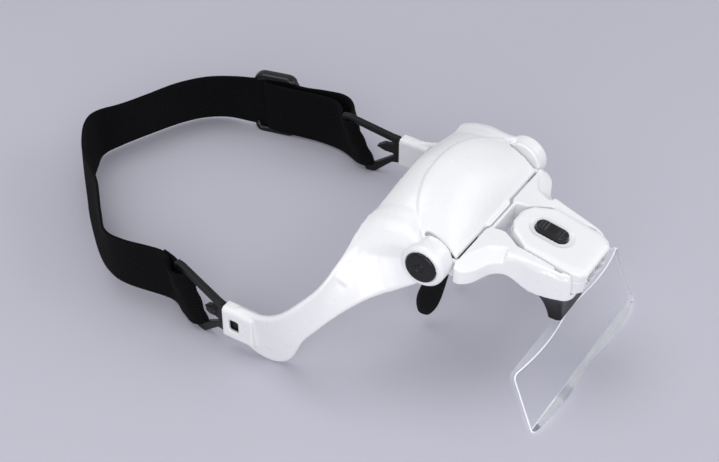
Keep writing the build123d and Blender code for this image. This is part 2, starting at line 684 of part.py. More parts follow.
def build_lamp_housings():
    """Upper and lower shells of the lamp."""
    with BuildPart() as upper:
        with BuildSketch(lamp_plane(-LAMP_SPLIT)):
            make_face(lamp_outline(0))
        extrude(amount=LAMP_SPLIT)
        fillet(upper.faces().sort_by(Axis.Z)[-1].edges(), 2.4)
        with BuildSketch(lamp_plane(-LAMP_SPLIT)):
            make_face(lamp_outline(LAMP_WALL))
        extrude(amount=LAMP_SPLIT - LAMP_ROOF, mode=Mode.SUBTRACT)
        for x in LAMP_SCREW_XS:
            with Locations(LAMP.location * Location((x, LAMP_SCREW_Y, -LAMP_SPLIT / 2 - 0.7))):
                Cylinder(1.7, LAMP_SPLIT - 1.4)
        with BuildSketch(lamp_front_plane(-1)):
            RectangleRounded(2 * WINDOW_HALF, WINDOW_LOW - WINDOW_TOP, 1.2)
        extrude(amount=4.0, mode=Mode.SUBTRACT)
        with BuildSketch(lamp_plane(-LAMP_SPLIT)):
            with Locations(*[(x, LAMP_SCREW_Y) for x in LAMP_SCREW_XS]):
                Circle(0.82)
        extrude(amount=LAMP_SPLIT - 1.8, mode=Mode.SUBTRACT)
        with BuildSketch(lamp_plane(-LAMP_SPLIT)):
            with Locations((0, -BUTTON_BACK)):
                SlotOverall(BUTTON_LENGTH + 2 * BUTTON_GAP, BUTTON_WIDTH + 2 * BUTTON_GAP, rotation=90)
        extrude(amount=LAMP_SPLIT + 1, mode=Mode.SUBTRACT)
    save(upper.part, "lamp_upper_housing")
    with BuildPart() as lower:
        with BuildSketch(lamp_plane(-LAMP_HEIGHT)):
            make_face(lamp_outline(0))
        extrude(amount=LAMP_HEIGHT - LAMP_SPLIT)
        with BuildSketch(lamp_plane(-LAMP_HEIGHT + LAMP_WALL)):
            make_face(lamp_outline(LAMP_WALL))
        extrude(amount=LAMP_HEIGHT, mode=Mode.SUBTRACT)
        for x in LAMP_SCREW_XS:
            with BuildSketch(lamp_plane(-LAMP_HEIGHT + 0.5)):
                with Locations((x, LAMP_SCREW_Y)):
                    Circle(1.9)
            extrude(amount=LAMP_HEIGHT - LAMP_SPLIT - 0.5)
        with BuildSketch(lamp_plane(-LAMP_HEIGHT + 0.5)):
            with Locations((0, -(BOARD_BACK + BOARD_FRONT) / 2)):
                with GridLocations(16.0, 11.0, 2, 2):
                    Circle(1.0)
        extrude(amount=LAMP_HEIGHT - BOARD_DOWN - BOARD_THICK - 0.55)
        with BuildSketch(lamp_front_plane(-1)):
            RectangleRounded(2 * WINDOW_HALF, WINDOW_LOW - WINDOW_TOP, 1.2)
        extrude(amount=4.0, mode=Mode.SUBTRACT)
        with BuildSketch(lamp_plane(-LAMP_HEIGHT - 1)):
            with Locations(*[(x, LAMP_SCREW_Y) for x in LAMP_SCREW_XS]):
                Circle(1.0)
        extrude(amount=LAMP_HEIGHT, mode=Mode.SUBTRACT)
        with BuildSketch(lamp_plane(-LAMP_HEIGHT - 1)):
            with Locations(*[(x, LAMP_SCREW_Y) for x in LAMP_SCREW_XS]):
                Circle(1.62)
        extrude(amount=2.4, mode=Mode.SUBTRACT)
        for side in (-1, 1):
            with BuildSketch(lamp_side_plane(side * LAMP_PIN_IN, LAMP_PIN_BACK, LAMP_PIN_DOWN)):
                Circle(LAMP_PIN_R + PIN_FIT)
            extrude(amount=side * 6.0, mode=Mode.SUBTRACT)
        # Opening for the battery door, which runs out to the rear
        with BuildSketch(lamp_plane(-LAMP_HEIGHT - 1)):
            with Locations((0, -DOOR_LENGTH / 2)):
                Rectangle(2 * DOOR_HALF + 0.4, DOOR_LENGTH + 0.2)
        extrude(amount=1 + DOOR_THICK + 0.15, mode=Mode.SUBTRACT)
        with BuildSketch(lamp_plane(-LAMP_HEIGHT - 1)):
            with Locations((0, -DOOR_LENGTH / 2 - 0.6)):
                Rectangle(2 * DOOR_HALF - 1.6, DOOR_LENGTH - 3.6)
        extrude(amount=3, mode=Mode.SUBTRACT)
    save(lower.part, "lamp_lower_housing")


def build_lamp_pins():
    """Two steel pins in the lamp's sides that carry it in the cradle."""
    with BuildPart() as pins:
        for side in (-1, 1):
            with BuildSketch(lamp_side_plane(side * LAMP_PIN_IN, LAMP_PIN_BACK, LAMP_PIN_DOWN)):
                Circle(LAMP_PIN_R)
            extrude(amount=side * (LAMP_PIN_OUT - LAMP_PIN_IN))
    save(pins.part, "lamp_pivot_pins")


def build_lamp_optics():
    """Window, reflector and LEDs at the front of the lamp."""
    height = WINDOW_LOW - WINDOW_TOP
    with BuildPart() as window:
        with BuildSketch(lamp_front_plane(0.1)):
            RectangleRounded(2 * WINDOW_HALF - 0.2, height - 0.2, 1.1)
        extrude(amount=1.4)
        with BuildSketch(lamp_front_plane(0.2)):
            with GridLocations(5.4, 3.6, 3, 2):
                RegularPolygon(1.5, 6)
        extrude(amount=-0.6, taper=30)
    save(window.part, "led_window")
    with BuildPart() as reflector:
        with BuildSketch(lamp_front_plane(1.6)):
            RectangleRounded(2 * WINDOW_HALF - 0.4, height - 0.4, 1.0)
        extrude(amount=4.6)
        for x in LED_XS:
            with BuildSketch(lamp_front_plane(1.5)):
                with Locations((x, 0)):
                    Circle(3.3)
            with BuildSketch(lamp_front_plane(6.3)):
                with Locations((x, 0)):
                    Circle(1.7)
            loft(mode=Mode.SUBTRACT)
    save(reflector.part, "led_reflector")
    with BuildPart() as leds:
        for x in LED_XS:
            with BuildSketch(lamp_front_plane(3.6)):
                with Locations((x, 0)):
                    Circle(1.5)
            extrude(amount=3.6)
            with BuildSketch(lamp_front_plane(7.2)):
                with Locations((x, 0)):
                    Circle(1.9)
            extrude(amount=0.8)
        fillet(leds.edges().filter_by(GeomType.CIRCLE).group_by(Axis.Y)[0], 0.7)
    save(leds.part, "leds")


def build_lamp_electrics():
    """Circuit board, switch, cells and contacts inside the lamp."""
    with BuildPart() as board:
        with BuildSketch(lamp_plane(-BOARD_DOWN - BOARD_THICK)):
            with Locations((0, -(BOARD_BACK + BOARD_FRONT) / 2)):
                RectangleRounded(20.0, BOARD_FRONT - BOARD_BACK, 1.0)
            with Locations((-5.6, -BOARD_BACK - 2.4), (5.6, -BOARD_BACK - 2.4)):
                Circle(0.7, mode=Mode.SUBTRACT)
        extrude(amount=BOARD_THICK)
        with BuildSketch(lamp_plane(-BOARD_DOWN)):
            with GridLocations(3.2, 0, 3, 1):
                with Locations((0, -BOARD_FRONT + 3.0)):
                    Rectangle(1.6, 0.9)
        extrude(amount=0.5)
    save(board.part, "circuit_board")
    with BuildPart() as switch:
        with BuildSketch(lamp_plane(-BOARD_DOWN)):
            with Locations((0, -TACT_BACK)):
                RectangleRounded(5.0, 5.0, 0.4)
        extrude(amount=TACT_HEIGHT - 0.3)
        with BuildSketch(lamp_plane(-BOARD_DOWN + TACT_HEIGHT - 0.3)):
            with Locations((0, -TACT_BACK)):
                Circle(1.2)
        extrude(amount=0.3)
    save(switch.part, "tact_switch")
    with BuildPart() as cells:
        for step in (-1, 0, 1):
            middle = step * (CELL_H + 0.04)
            with BuildSketch(lamp_side_plane(middle - CELL_H / 2, CELL_BACK, CELL_DOWN)):
                Circle(CELL_R)
            extrude(amount=CELL_H)
        fillet(cells.edges().filter_by(GeomType.CIRCLE), 0.35)
    save(cells.part, "battery_cells")
    stack = 1.5 * CELL_H + 0.04
    with BuildPart() as contacts:
        for side in (-1, 1):
            with BuildSketch(lamp_side_plane(side * (stack + 0.15), CELL_BACK, CELL_DOWN)):
                Rectangle(4.4, 5.0)
            extrude(amount=side * 0.35)
            with BuildSketch(lamp_side_plane(side * (stack + 0.5), CELL_BACK, CELL_DOWN)):
                Rectangle(2.0, 5.0)
            extrude(amount=side * 0.8, taper=12)
    save(contacts.part, "battery_contacts")


def build_button():
    """Black push button on top of the lamp, with a keeper flange and a stem."""
    with BuildPart() as button:
        with BuildSketch(lamp_plane(-FLANGE_LOW)):
            with Locations((0, -BUTTON_BACK)):
                SlotOverall(BUTTON_LENGTH, BUTTON_WIDTH, rotation=90)
        extrude(amount=FLANGE_LOW + BUTTON_PROUD)
        fillet(button.faces().sort_by(Axis.Z)[-1].edges(), 0.8)
        with BuildSketch(lamp_plane(-FLANGE_LOW)):
            with Locations((0, -BUTTON_BACK)):
                SlotOverall(BUTTON_LENGTH + 1.6, BUTTON_WIDTH + 1.6, rotation=90)
        extrude(amount=0.5)
        with BuildSketch(lamp_plane(-BOARD_DOWN + TACT_HEIGHT + 0.55)):
            with Locations((0, -TACT_BACK)):
                Circle(1.0)
        extrude(amount=BOARD_DOWN - TACT_HEIGHT - 0.5 - FLANGE_LOW)
    save(button.part, "switch_button")


def build_battery_door():
    with BuildPart() as door:
        with BuildSketch(lamp_plane(-LAMP_HEIGHT)):
            with Locations((0, -DOOR_LENGTH / 2 + 0.1)):
                Rectangle(2 * DOOR_HALF, DOOR_LENGTH - 0.2)
        extrude(amount=DOOR_THICK)
        with BuildSketch(lamp_plane(-LAMP_HEIGHT)):
            with Locations((0, -3.0)):
                with GridLocations(0, 1.2, 1, 3):
                    Rectangle(7.0, 0.5)
        extrude(amount=0.3, mode=Mode.SUBTRACT)
    save(door.part, "battery_door")


def build_lamp_screws():
    with BuildPart() as screws:
        with BuildSketch(lamp_plane(-LAMP_HEIGHT + 0.3)):
            with Locations(*[(x, LAMP_SCREW_Y) for x in LAMP_SCREW_XS]):
                Circle(1.5)
        extrude(amount=1.1)
        with BuildSketch(lamp_plane(-LAMP_HEIGHT + 1.4)):
            with Locations(*[(x, LAMP_SCREW_Y) for x in LAMP_SCREW_XS]):
                Circle(0.8)
        extrude(amount=LAMP_HEIGHT - 3.4)
        with BuildSketch(lamp_plane(-LAMP_HEIGHT + 0.2)):
            with Locations(*[(x, LAMP_SCREW_Y) for x in LAMP_SCREW_XS]):
                Rectangle(1.8, 0.4)
                Rectangle(0.4, 1.8)
        extrude(amount=0.6, mode=Mode.SUBTRACT)
    save(screws.part, "lamp_screws")


def clip_plane(side):
    """Plane of one strap clip: x runs to the rear and turns in towards the head, y is up."""
    turn = radians(CLIP_TURN)
    return Plane(
        origin=(side * SOCKET_X, SOCKET_BACK, 0),
        x_dir=(-side * sin(turn), cos(turn), 0),
        z_dir=(cos(turn), side * sin(turn), 0),
    )


def build_strap_clip(side, name):
    """Black clip: plug for the socket, triangular frame, latch tongue and slanted strap bar."""
    plane = clip_plane(side)
    with BuildPart() as clip:
        with BuildSketch(Plane.XZ.offset(-(PLUG_FRONT + 0.4))):
            with Locations((side * SOCKET_X, (PLUG_LOW + PLUG_TOP) / 2)):
                Rectangle(PLUG_THICK, PLUG_TOP - PLUG_LOW)
        extrude(amount=-(SOCKET_BACK - PLUG_FRONT + 0.6))
        with BuildSketch(plane) as frame:
            with BuildLine():
                Polyline(*CLIP_OUTLINE, close=True)
            make_face()
            fillet(frame.vertices(), 1.2)
            with BuildLine():
                Polyline(*CLIP_WINDOW, close=True)
            make_face(mode=Mode.SUBTRACT)
            with BuildLine():
                Polyline(*CLIP_TONGUE, close=True)
            make_face()
        extrude(amount=CLIP_THICK / 2, both=True)
        with BuildSketch(plane.offset(side * CLIP_THICK / 2)):
            with Locations((8.6, 16.6)):
                Ellipse(3.0, 1.9)
        extrude(amount=side * 0.8)
    save(clip.part, f"strap_clip_{name}")


def build_strap_band():
    """Ribbed elastic that stands on its edge behind the frame."""
    with BuildPart() as band:
        with BuildSketch(Plane.XY.offset(STRAP_LIFT)):
            with BuildLine():
                path = Spline(*STRAP_PATH, tangents=(Vector(0.2, 1.0), Vector(-0.6, -1.0)), mode=Mode.PRIVATE)
                sides = []
                for shift in (-STRAP_THICK / 2, STRAP_THICK / 2):
                    points = []
                    for i in range(STRAP_STATIONS + 1):
                        run = path % (i / STRAP_STATIONS)
                        points.append(path @ (i / STRAP_STATIONS) + Vector(-run.Y, run.X) * shift)
                    sides.append(Spline(*points))
                for end in (0, 1):
                    Line(sides[0] @ end, sides[1] @ end)
            make_face()
        extrude(amount=STRAP_WIDTH)
        # Both ends are cut on the slant of the clips' bars
        with BuildSketch(Plane.YZ) as ends:
            with BuildLine():
                Polyline((90.0, -1.0), (102.0, -1.0), (116.6, 32.0), (90.0, 32.0), close=True)
            make_face()
        extrude(amount=100.0, both=True, mode=Mode.SUBTRACT)
    save(band.part, "strap_band")


def build_strap_slider():
    """Black adjuster on the straight run of the strap: a frame of two plates joined by rails."""
    middle = Vector(*STRAP_STRAIGHT[0]) + STRAP_DIRECTION * (SLIDER_RUN * SLIDER_AT)
    plane = Plane(
        origin=(middle.X, middle.Y, STRAP_LIFT + STRAP_WIDTH / 2),
        x_dir=STRAP_DIRECTION,
        z_dir=(STRAP_DIRECTION.Y, -STRAP_DIRECTION.X, 0),
    )
    outer = STRAP_WIDTH + 2 * SLIDER_RAIL + 0.6
    with BuildPart() as slider:
        with BuildSketch(plane) as body:
            RectangleRounded(SLIDER_LENGTH, outer, 1.6)
        extrude(amount=SLIDER_THICK / 2, both=True)
        with BuildSketch(plane):
            Rectangle(SLIDER_LENGTH + 2, STRAP_WIDTH + 0.6)
        extrude(amount=STRAP_THICK / 2 + SLIDER_GAP, both=True, mode=Mode.SUBTRACT)
        with BuildSketch(plane):
            with GridLocations(SLIDER_LENGTH / 2 - 1.2, 0, 2, 1):
                RectangleRounded(SLIDER_LENGTH / 2 - 4.6, STRAP_WIDTH - 3.0, 1.0)
        extrude(amount=SLIDER_THICK, both=True, mode=Mode.SUBTRACT)
    save(slider.part, "strap_slider")


os.makedirs("parts", exist_ok=True)
hole_top = build_brow_shell()
build_brow_liner(hole_top)
build_pivot(-1, "right")
build_pivot(1, "left")
build_pivot_rings()
build_nose_rest()
build_visor_bracket()
build_lens_clip()
build_lens()
build_lamp_housings()
build_lamp_pins()
build_lamp_optics()
build_lamp_electrics()
build_button()
build_battery_door()
build_lamp_screws()
build_strap_clip(-1, "right")
build_strap_clip(1, "left")
build_strap_band()
build_strap_slider()
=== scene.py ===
"""Looks of the head visor magnifier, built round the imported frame. Lengths here are in millimetres."""

import json
import math

import bpy
import numpy as np
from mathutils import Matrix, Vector


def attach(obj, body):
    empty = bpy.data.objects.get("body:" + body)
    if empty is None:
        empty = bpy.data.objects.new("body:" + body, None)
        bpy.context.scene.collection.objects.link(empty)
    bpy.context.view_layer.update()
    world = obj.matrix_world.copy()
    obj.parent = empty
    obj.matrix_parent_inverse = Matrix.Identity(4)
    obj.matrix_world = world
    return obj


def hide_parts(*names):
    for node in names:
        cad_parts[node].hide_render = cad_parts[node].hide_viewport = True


MM = 0.001
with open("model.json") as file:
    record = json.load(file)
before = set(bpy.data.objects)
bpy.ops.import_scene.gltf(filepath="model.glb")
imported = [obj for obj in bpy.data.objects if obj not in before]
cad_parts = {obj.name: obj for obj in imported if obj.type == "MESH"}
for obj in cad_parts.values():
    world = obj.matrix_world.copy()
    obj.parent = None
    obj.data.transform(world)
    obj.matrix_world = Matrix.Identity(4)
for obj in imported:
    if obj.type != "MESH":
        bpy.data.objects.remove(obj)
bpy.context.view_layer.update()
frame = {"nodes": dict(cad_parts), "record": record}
nodes = frame["nodes"]
scene = bpy.context.scene

PIVOT_Z = 64.0
PITCH = math.radians(10.0)
LENS_BOTTOM_Y, LENS_BOTTOM_Z = -56.4, 0.0
LENS_LEAN = math.asin(0.395)
LAMP_ORIGIN = np.array([0.0, -20.5, 68.7])
LAMP_ALONG = np.array([0.0, math.cos(PITCH), math.sin(PITCH)])
LAMP_UP = np.array([0.0, -math.sin(PITCH), math.cos(PITCH)])


# ---------------------------------------------------------------- mesh helpers


def smoothstep(a, b, x):
    t = np.clip((x - a) / (b - a), 0.0, 1.0)
    return t * t * (3.0 - 2.0 * t)


def get_points(mesh):
    co = np.empty(len(mesh.vertices) * 3, np.float32)
    mesh.vertices.foreach_get("co", co)
    return co.reshape(-1, 3).astype(float) / MM


def set_points(mesh, points):
    mesh.vertices.foreach_set("co", (points * MM).astype(np.float32).ravel())
    mesh.update()


def get_normals(mesh):
    no = np.empty(len(mesh.vertices) * 3, np.float32)
    mesh.vertices.foreach_get("normal", no)
    return no.reshape(-1, 3).astype(float)


def new_piece(name, points, faces, body):
    """Smooth-shaded mesh piece that rides on a body."""
    mesh = bpy.data.meshes.new(name)
    mesh.from_pydata([tuple(p * MM) for p in np.asarray(points, float)], [], faces)
    mesh.validate()
    mesh.update()
    mesh.polygons.foreach_set("use_smooth", [True] * len(mesh.polygons))
    obj = bpy.data.objects.new(name, mesh)
    scene.collection.objects.link(obj)
    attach(obj, body)
    return obj


def bake(obj):
    """Applies the object's modifiers to its mesh."""
    graph = bpy.context.evaluated_depsgraph_get()
    graph.update()
    made = bpy.data.meshes.new_from_object(obj.evaluated_get(graph))
    obj.modifiers.clear()
    obj.data = made


def relax(obj, rounds, weight=None, shrink=0.0):
    """Smooths the mesh without shrinking it, by a per-point weight."""
    mesh = obj.data
    edges = np.empty(len(mesh.edges) * 2, np.int32)
    mesh.edges.foreach_get("vertices", edges)
    a, b = edges.reshape(-1, 2).T
    points = get_points(mesh)
    count = len(points)
    degree = np.maximum(np.bincount(a, minlength=count) + np.bincount(b, minlength=count), 1)
    w = np.ones(count) if weight is None else weight(points)
    for _ in range(rounds):
        for step in (0.5, shrink - 0.52):
            mean = np.empty_like(points)
            for k in range(3):
                total = np.bincount(a, points[b, k], count) + np.bincount(b, points[a, k], count)
                mean[:, k] = total / degree
            points += (mean - points) * (step * w)[:, None]
    set_points(mesh, points)


def soften(name, sources, voxel, rounds, body, extra=()):
    """One smooth-edged skin that stands for CAD nodes: their union, remeshed and relaxed."""
    verts, faces = [], []
    offset = 0
    for node in sources:
        mesh = nodes[node].data
        verts.append(get_points(mesh))
        faces += [[i + offset for i in p.vertices] for p in mesh.polygons]
        offset += len(mesh.vertices)
    for points, polygons in extra:
        verts.append(np.asarray(points, float))
        faces += [[i + offset for i in p] for p in polygons]
        offset += len(points)
    obj = new_piece(name, np.vstack(verts), faces, body)
    weld = obj.modifiers.new("weld", "WELD")
    weld.merge_threshold = 0.002 * MM
    remesh = obj.modifiers.new("remesh", "REMESH")
    remesh.mode = "VOXEL"
    remesh.voxel_size = voxel * MM
    remesh.use_smooth_shade = True
    bake(obj)
    relax(obj, rounds)
    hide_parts(*sources)
    return obj


def swept(sections, caps=True):
    """Points and faces of a skin through closed sections that have the same number of points."""
    sections = [np.asarray(s, float) for s in sections]
    n = len(sections[0])
    points = np.vstack(sections)
    faces = []
    for i in range(len(sections) - 1):
        for j in range(n):
            k = (j + 1) % n
            faces.append([i * n + j, i * n + k, (i + 1) * n + k, (i + 1) * n + j])
    if caps:
        faces.append(list(range(n))[::-1])
        faces.append([(len(sections) - 1) * n + j for j in range(n)])
    return points, faces


def curve_through(points, count):
    """Evenly spaced points on a smooth curve through the given ones."""
    bend, samples = 0.5, 40
    p = np.asarray(points, float)
    p = np.vstack([2 * p[0] - p[1], p, 2 * p[-1] - p[-2]])
    fine = []
    for i in range(1, len(p) - 2):
        p0, p1, p2, p3 = p[i - 1 : i + 3]
        for t in np.linspace(0, 1, samples, endpoint=False):
            a = (p2 - p0) * bend
            b = (p3 - p1) * bend
            h = (2 * t**3 - 3 * t**2 + 1) * p1 + (t**3 - 2 * t**2 + t) * a
            fine.append(h + (-2 * t**3 + 3 * t**2) * p2 + (t**3 - t**2) * b)
    fine.append(p[-2])
    fine = np.array(fine)
    run = np.concatenate([[0], np.cumsum(np.linalg.norm(np.diff(fine, axis=0), axis=1))])
    at = np.linspace(0, run[-1], count)
    return np.stack([np.interp(at, run, fine[:, k]) for k in range(fine.shape[1])], axis=1)


# ------------------------------------------------------------------ materials


def material(name):
    mat = bpy.data.materials.new(name)
    mat.use_nodes = True
    tree = mat.node_tree
    shader = tree.nodes["Principled BSDF"]
    return mat, tree, shader


def add(tree, kind, **values):
    node = tree.nodes.new(kind)
    for key, value in values.items():
        if key in node.inputs:
            node.inputs[key].default_value = value
        else:
            setattr(node, key, value)
    return node


def noise(tree, scale, detail=4.0, rough=0.5):
    """Noise in object space; scale is features per metre."""
    place = add(tree, "ShaderNodeTexCoord")
    tex = add(tree, "ShaderNodeTexNoise")
    tex.inputs["Scale"].default_value = scale
    tex.inputs["Detail"].default_value = detail
    tex.inputs["Roughness"].default_value = rough
    tree.links.new(place.outputs["Object"], tex.inputs["Vector"])
    return tex.outputs["Fac"]


def ramp(tree, fac, stops):
    node = add(tree, "ShaderNodeValToRGB")
    bar = node.color_ramp
    while len(bar.elements) < len(stops):
        bar.elements.new(0.5)
    for element, (pos, colour) in zip(bar.elements, stops):
        element.position = pos
        element.color = colour if len(colour) == 4 else (*colour, 1)
    tree.links.new(fac, node.inputs["Fac"])
    return node.outputs["Color"]


def bump(tree, height, shader, strength, distance, before=None):
    node = add(tree, "ShaderNodeBump")
    node.inputs["Strength"].default_value = strength
    node.inputs["Distance"].default_value = distance
    tree.links.new(height, node.inputs["Height"])
    if before is not None:
        tree.links.new(before, node.inputs["Normal"])
    tree.links.new(node.outputs["Normal"], shader.inputs["Normal"])
    return node.outputs["Normal"]


def mix(tree, fac, a, b):
    node = add(tree, "ShaderNodeMix")
    node.data_type = "RGBA"
    node.blend_type = "MIX"
    for socket, value in ((node.inputs[0], fac), (node.inputs[6], a), (node.inputs[7], b)):
        if hasattr(value, "links"):
            tree.links.new(value, socket)
        else:
            socket.default_value = value if isinstance(value, float) else (*value, 1)
    return node.outputs[2]


def convex_edge_highlight(tree):
    """Mask for a painted highlight: bright where the surface is convex."""
    shape = add(tree, "ShaderNodeNewGeometry")
    return ramp(tree, shape.outputs["Pointiness"], [(0.52, (0, 0, 0)), (0.60, (1, 1, 1))])


def plastic(name, light, dark, rough, grain, grain_depth, edge, speck=None, coat=0.0, subsurface=0.0,
            specular=0.5):
    """Moulded plastic: slow colour drift, fine grain, uneven gloss, and convex edges lightened as a painted
    highlight.
    """
    mat, tree, shader = material(name)
    drift = ramp(tree, noise(tree, 45.0, 3.0), [(0.3, dark), (0.7, light)])
    # Convex edges take the edge colour, a painted highlight.
    colour = mix(tree, convex_edge_highlight(tree), drift, edge)
    if speck:
        dust = ramp(tree, noise(tree, 900.0, 2.0), [(0.70, (0, 0, 0)), (0.76, (1, 1, 1))])
        colour = mix(tree, dust, colour, speck)
    tree.links.new(colour, shader.inputs["Base Color"])
    gloss = ramp(tree, noise(tree, 160.0, 5.0), [(0.25, (rough - 0.06,) * 3), (0.8, (rough + 0.10,) * 3)])
    tree.links.new(gloss, shader.inputs["Roughness"])
    first = bump(tree, noise(tree, grain, 2.0), shader, 0.35, grain_depth)
    bump(tree, noise(tree, 38.0, 1.0), shader, 0.10, 0.0003, first)
    shader.inputs["Coat Weight"].default_value = coat
    shader.inputs["Coat Roughness"].default_value = 0.18
    if subsurface:
        shader.inputs["Subsurface Weight"].default_value = subsurface
        shader.inputs["Subsurface Radius"].default_value = (0.0012, 0.0012, 0.0012)
        shader.inputs["Subsurface Scale"].default_value = 1.0
    shader.inputs["IOR"].default_value = 1.5
    shader.inputs["Specular IOR Level"].default_value = specular
    return mat


def metal(name, light, dark, rough, stretch):
    mat, tree, shader = material(name)
    place = add(tree, "ShaderNodeTexCoord")
    scaled = add(tree, "ShaderNodeMapping")
    scaled.inputs["Scale"].default_value = stretch
    tree.links.new(place.outputs["Object"], scaled.inputs["Vector"])
    tex = add(tree, "ShaderNodeTexNoise")
    tex.inputs["Scale"].default_value = 700.0
    tree.links.new(scaled.outputs["Vector"], tex.inputs["Vector"])
    tree.links.new(ramp(tree, tex.outputs["Fac"], [(0.3, dark), (0.7, light)]), shader.inputs["Base Color"])
    gloss = ramp(tree, tex.outputs["Fac"], [(0.2, (rough - 0.06,) * 3), (0.8, (rough + 0.12,) * 3)])
    tree.links.new(gloss, shader.inputs["Roughness"])
    shader.inputs["Metallic"].default_value = 1.0
    bump(tree, tex.outputs["Fac"], shader, 0.2, 0.00003)
    return mat


def clear(name, tint, rough, haze, glass, rim_whitening_highlight=0.0, rim_glow_highlight=0.0):
    """Clear acrylic that lets light through to the floor.

    glass is the share of real refraction; the last two arguments paint a highlight on a polished rim: one
    whitens it by taking away transmission, the other makes it glow.
    """
    mat, tree, shader = material(name)
    smear = ramp(tree, noise(tree, 60.0, 4.0), [(0.45, (rough,) * 3), (0.8, (rough + haze,) * 3)])
    tree.links.new(smear, shader.inputs["Roughness"])
    brighter = tuple(min(1.0, share * 1.02) for share in tint)
    tinted = ramp(tree, noise(tree, 25.0, 2.0), [(0.3, tint), (0.7, brighter)])
    tree.links.new(tinted, shader.inputs["Base Color"])
    shader.inputs["IOR"].default_value = 1.49
    # Painted highlight: less transmission whitens the rim.
    shader.inputs["Transmission Weight"].default_value = 1.0 - rim_whitening_highlight
    # Painted highlight: the rim glows, though the acrylic is no lamp.
    tree.links.new(tinted, shader.inputs["Emission Color"])
    shader.inputs["Emission Strength"].default_value = rim_glow_highlight
    bump(tree, noise(tree, 30.0, 1.0), shader, 0.03, 0.0002)
    open_air = add(tree, "ShaderNodeBsdfTransparent")
    tree.links.new(tinted, open_air.inputs["Color"])
    shine = add(tree, "ShaderNodeBsdfGlossy")
    tree.links.new(smear, shine.inputs["Roughness"])
    bend = add(tree, "ShaderNodeFresnel")
    bend.inputs["IOR"].default_value = 1.35
    facing = add(tree, "ShaderNodeNewGeometry")
    outside = add(tree, "ShaderNodeMath", operation="SUBTRACT")
    outside.inputs[0].default_value = 1.0
    tree.links.new(facing.outputs["Backfacing"], outside.inputs[1])
    outer = add(tree, "ShaderNodeMath", operation="MULTIPLY")
    tree.links.new(bend.outputs["Fac"], outer.inputs[0])
    tree.links.new(outside.outputs[0], outer.inputs[1])
    thin = add(tree, "ShaderNodeMixShader")
    tree.links.new(outer.outputs[0], thin.inputs["Fac"])
    tree.links.new(open_air.outputs["BSDF"], thin.inputs[1])
    tree.links.new(shine.outputs["BSDF"], thin.inputs[2])
    solid = add(tree, "ShaderNodeMixShader")
    solid.inputs["Fac"].default_value = glass
    tree.links.new(thin.outputs["Shader"], solid.inputs[1])
    tree.links.new(shader.outputs["BSDF"], solid.inputs[2])
    path = add(tree, "ShaderNodeLightPath")
    passing = add(tree, "ShaderNodeBsdfTransparent")
    passing.inputs["Color"].default_value = (0.985, 0.986, 0.988, 1)
    join = add(tree, "ShaderNodeMixShader")
    tree.links.new(path.outputs["Is Shadow Ray"], join.inputs["Fac"])
    tree.links.new(solid.outputs["Shader"], join.inputs[1])
    tree.links.new(passing.outputs["BSDF"], join.inputs[2])
    tree.links.new(join.outputs["Shader"], tree.nodes["Material Output"].inputs["Surface"])
    return mat


def elastic(name):
    """Black ribbed elastic. U runs along the strap and V across it, both in millimetres."""
    mat, tree, shader = material(name)
    uv = add(tree, "ShaderNodeUVMap")
    split = add(tree, "ShaderNodeSeparateXYZ")
    tree.links.new(uv.outputs["UV"], split.inputs["Vector"])

    def wave(output, period):
        turn = add(tree, "ShaderNodeMath", operation="MULTIPLY_ADD")
        tree.links.new(split.outputs[output], turn.inputs[0])
        turn.inputs[1].default_value = 2 * math.pi / period
        turn.inputs[2].default_value = 0.0
        sine = add(tree, "ShaderNodeMath", operation="SINE")
        tree.links.new(turn.outputs[0], sine.inputs[0])
        return sine.outputs[0]

    knit = add(tree, "ShaderNodeMath", operation="MULTIPLY")
    tree.links.new(wave("X", 0.9), knit.inputs[0])
    tree.links.new(wave("Y", 0.8), knit.inputs[1])
    rows = add(tree, "ShaderNodeMath", operation="MULTIPLY_ADD")
    tree.links.new(wave("Y", 1.6), rows.inputs[0])
    rows.inputs[1].default_value = 1.2
    tree.links.new(knit.outputs[0], rows.inputs[2])
    # The colour follows the rib height: darker in the grooves as painted shade, lighter on the crests.
    rib_groove_shade = ramp(tree, rows.outputs[0], [(0.0, (0.0008, 0.0008, 0.0011)), (1.0, (0.0042, 0.0042, 0.0052))])
    lint = ramp(tree, noise(tree, 2600.0, 2.0), [(0.70, (0, 0, 0)), (0.78, (0.5, 0.5, 0.5))])
    tree.links.new(mix(tree, lint, rib_groove_shade, (0.012, 0.012, 0.014)), shader.inputs["Base Color"])
    shader.inputs["Roughness"].default_value = 0.9
    shader.inputs["Specular IOR Level"].default_value = 0.12
    shader.inputs["Sheen Weight"].default_value = 0.01
    shader.inputs["Sheen Roughness"].default_value = 0.5
    first = bump(tree, rows.outputs[0], shader, 0.6, 0.00012)
    bump(tree, noise(tree, 3500.0, 3.0), shader, 0.3, 0.00008, first)
    return mat


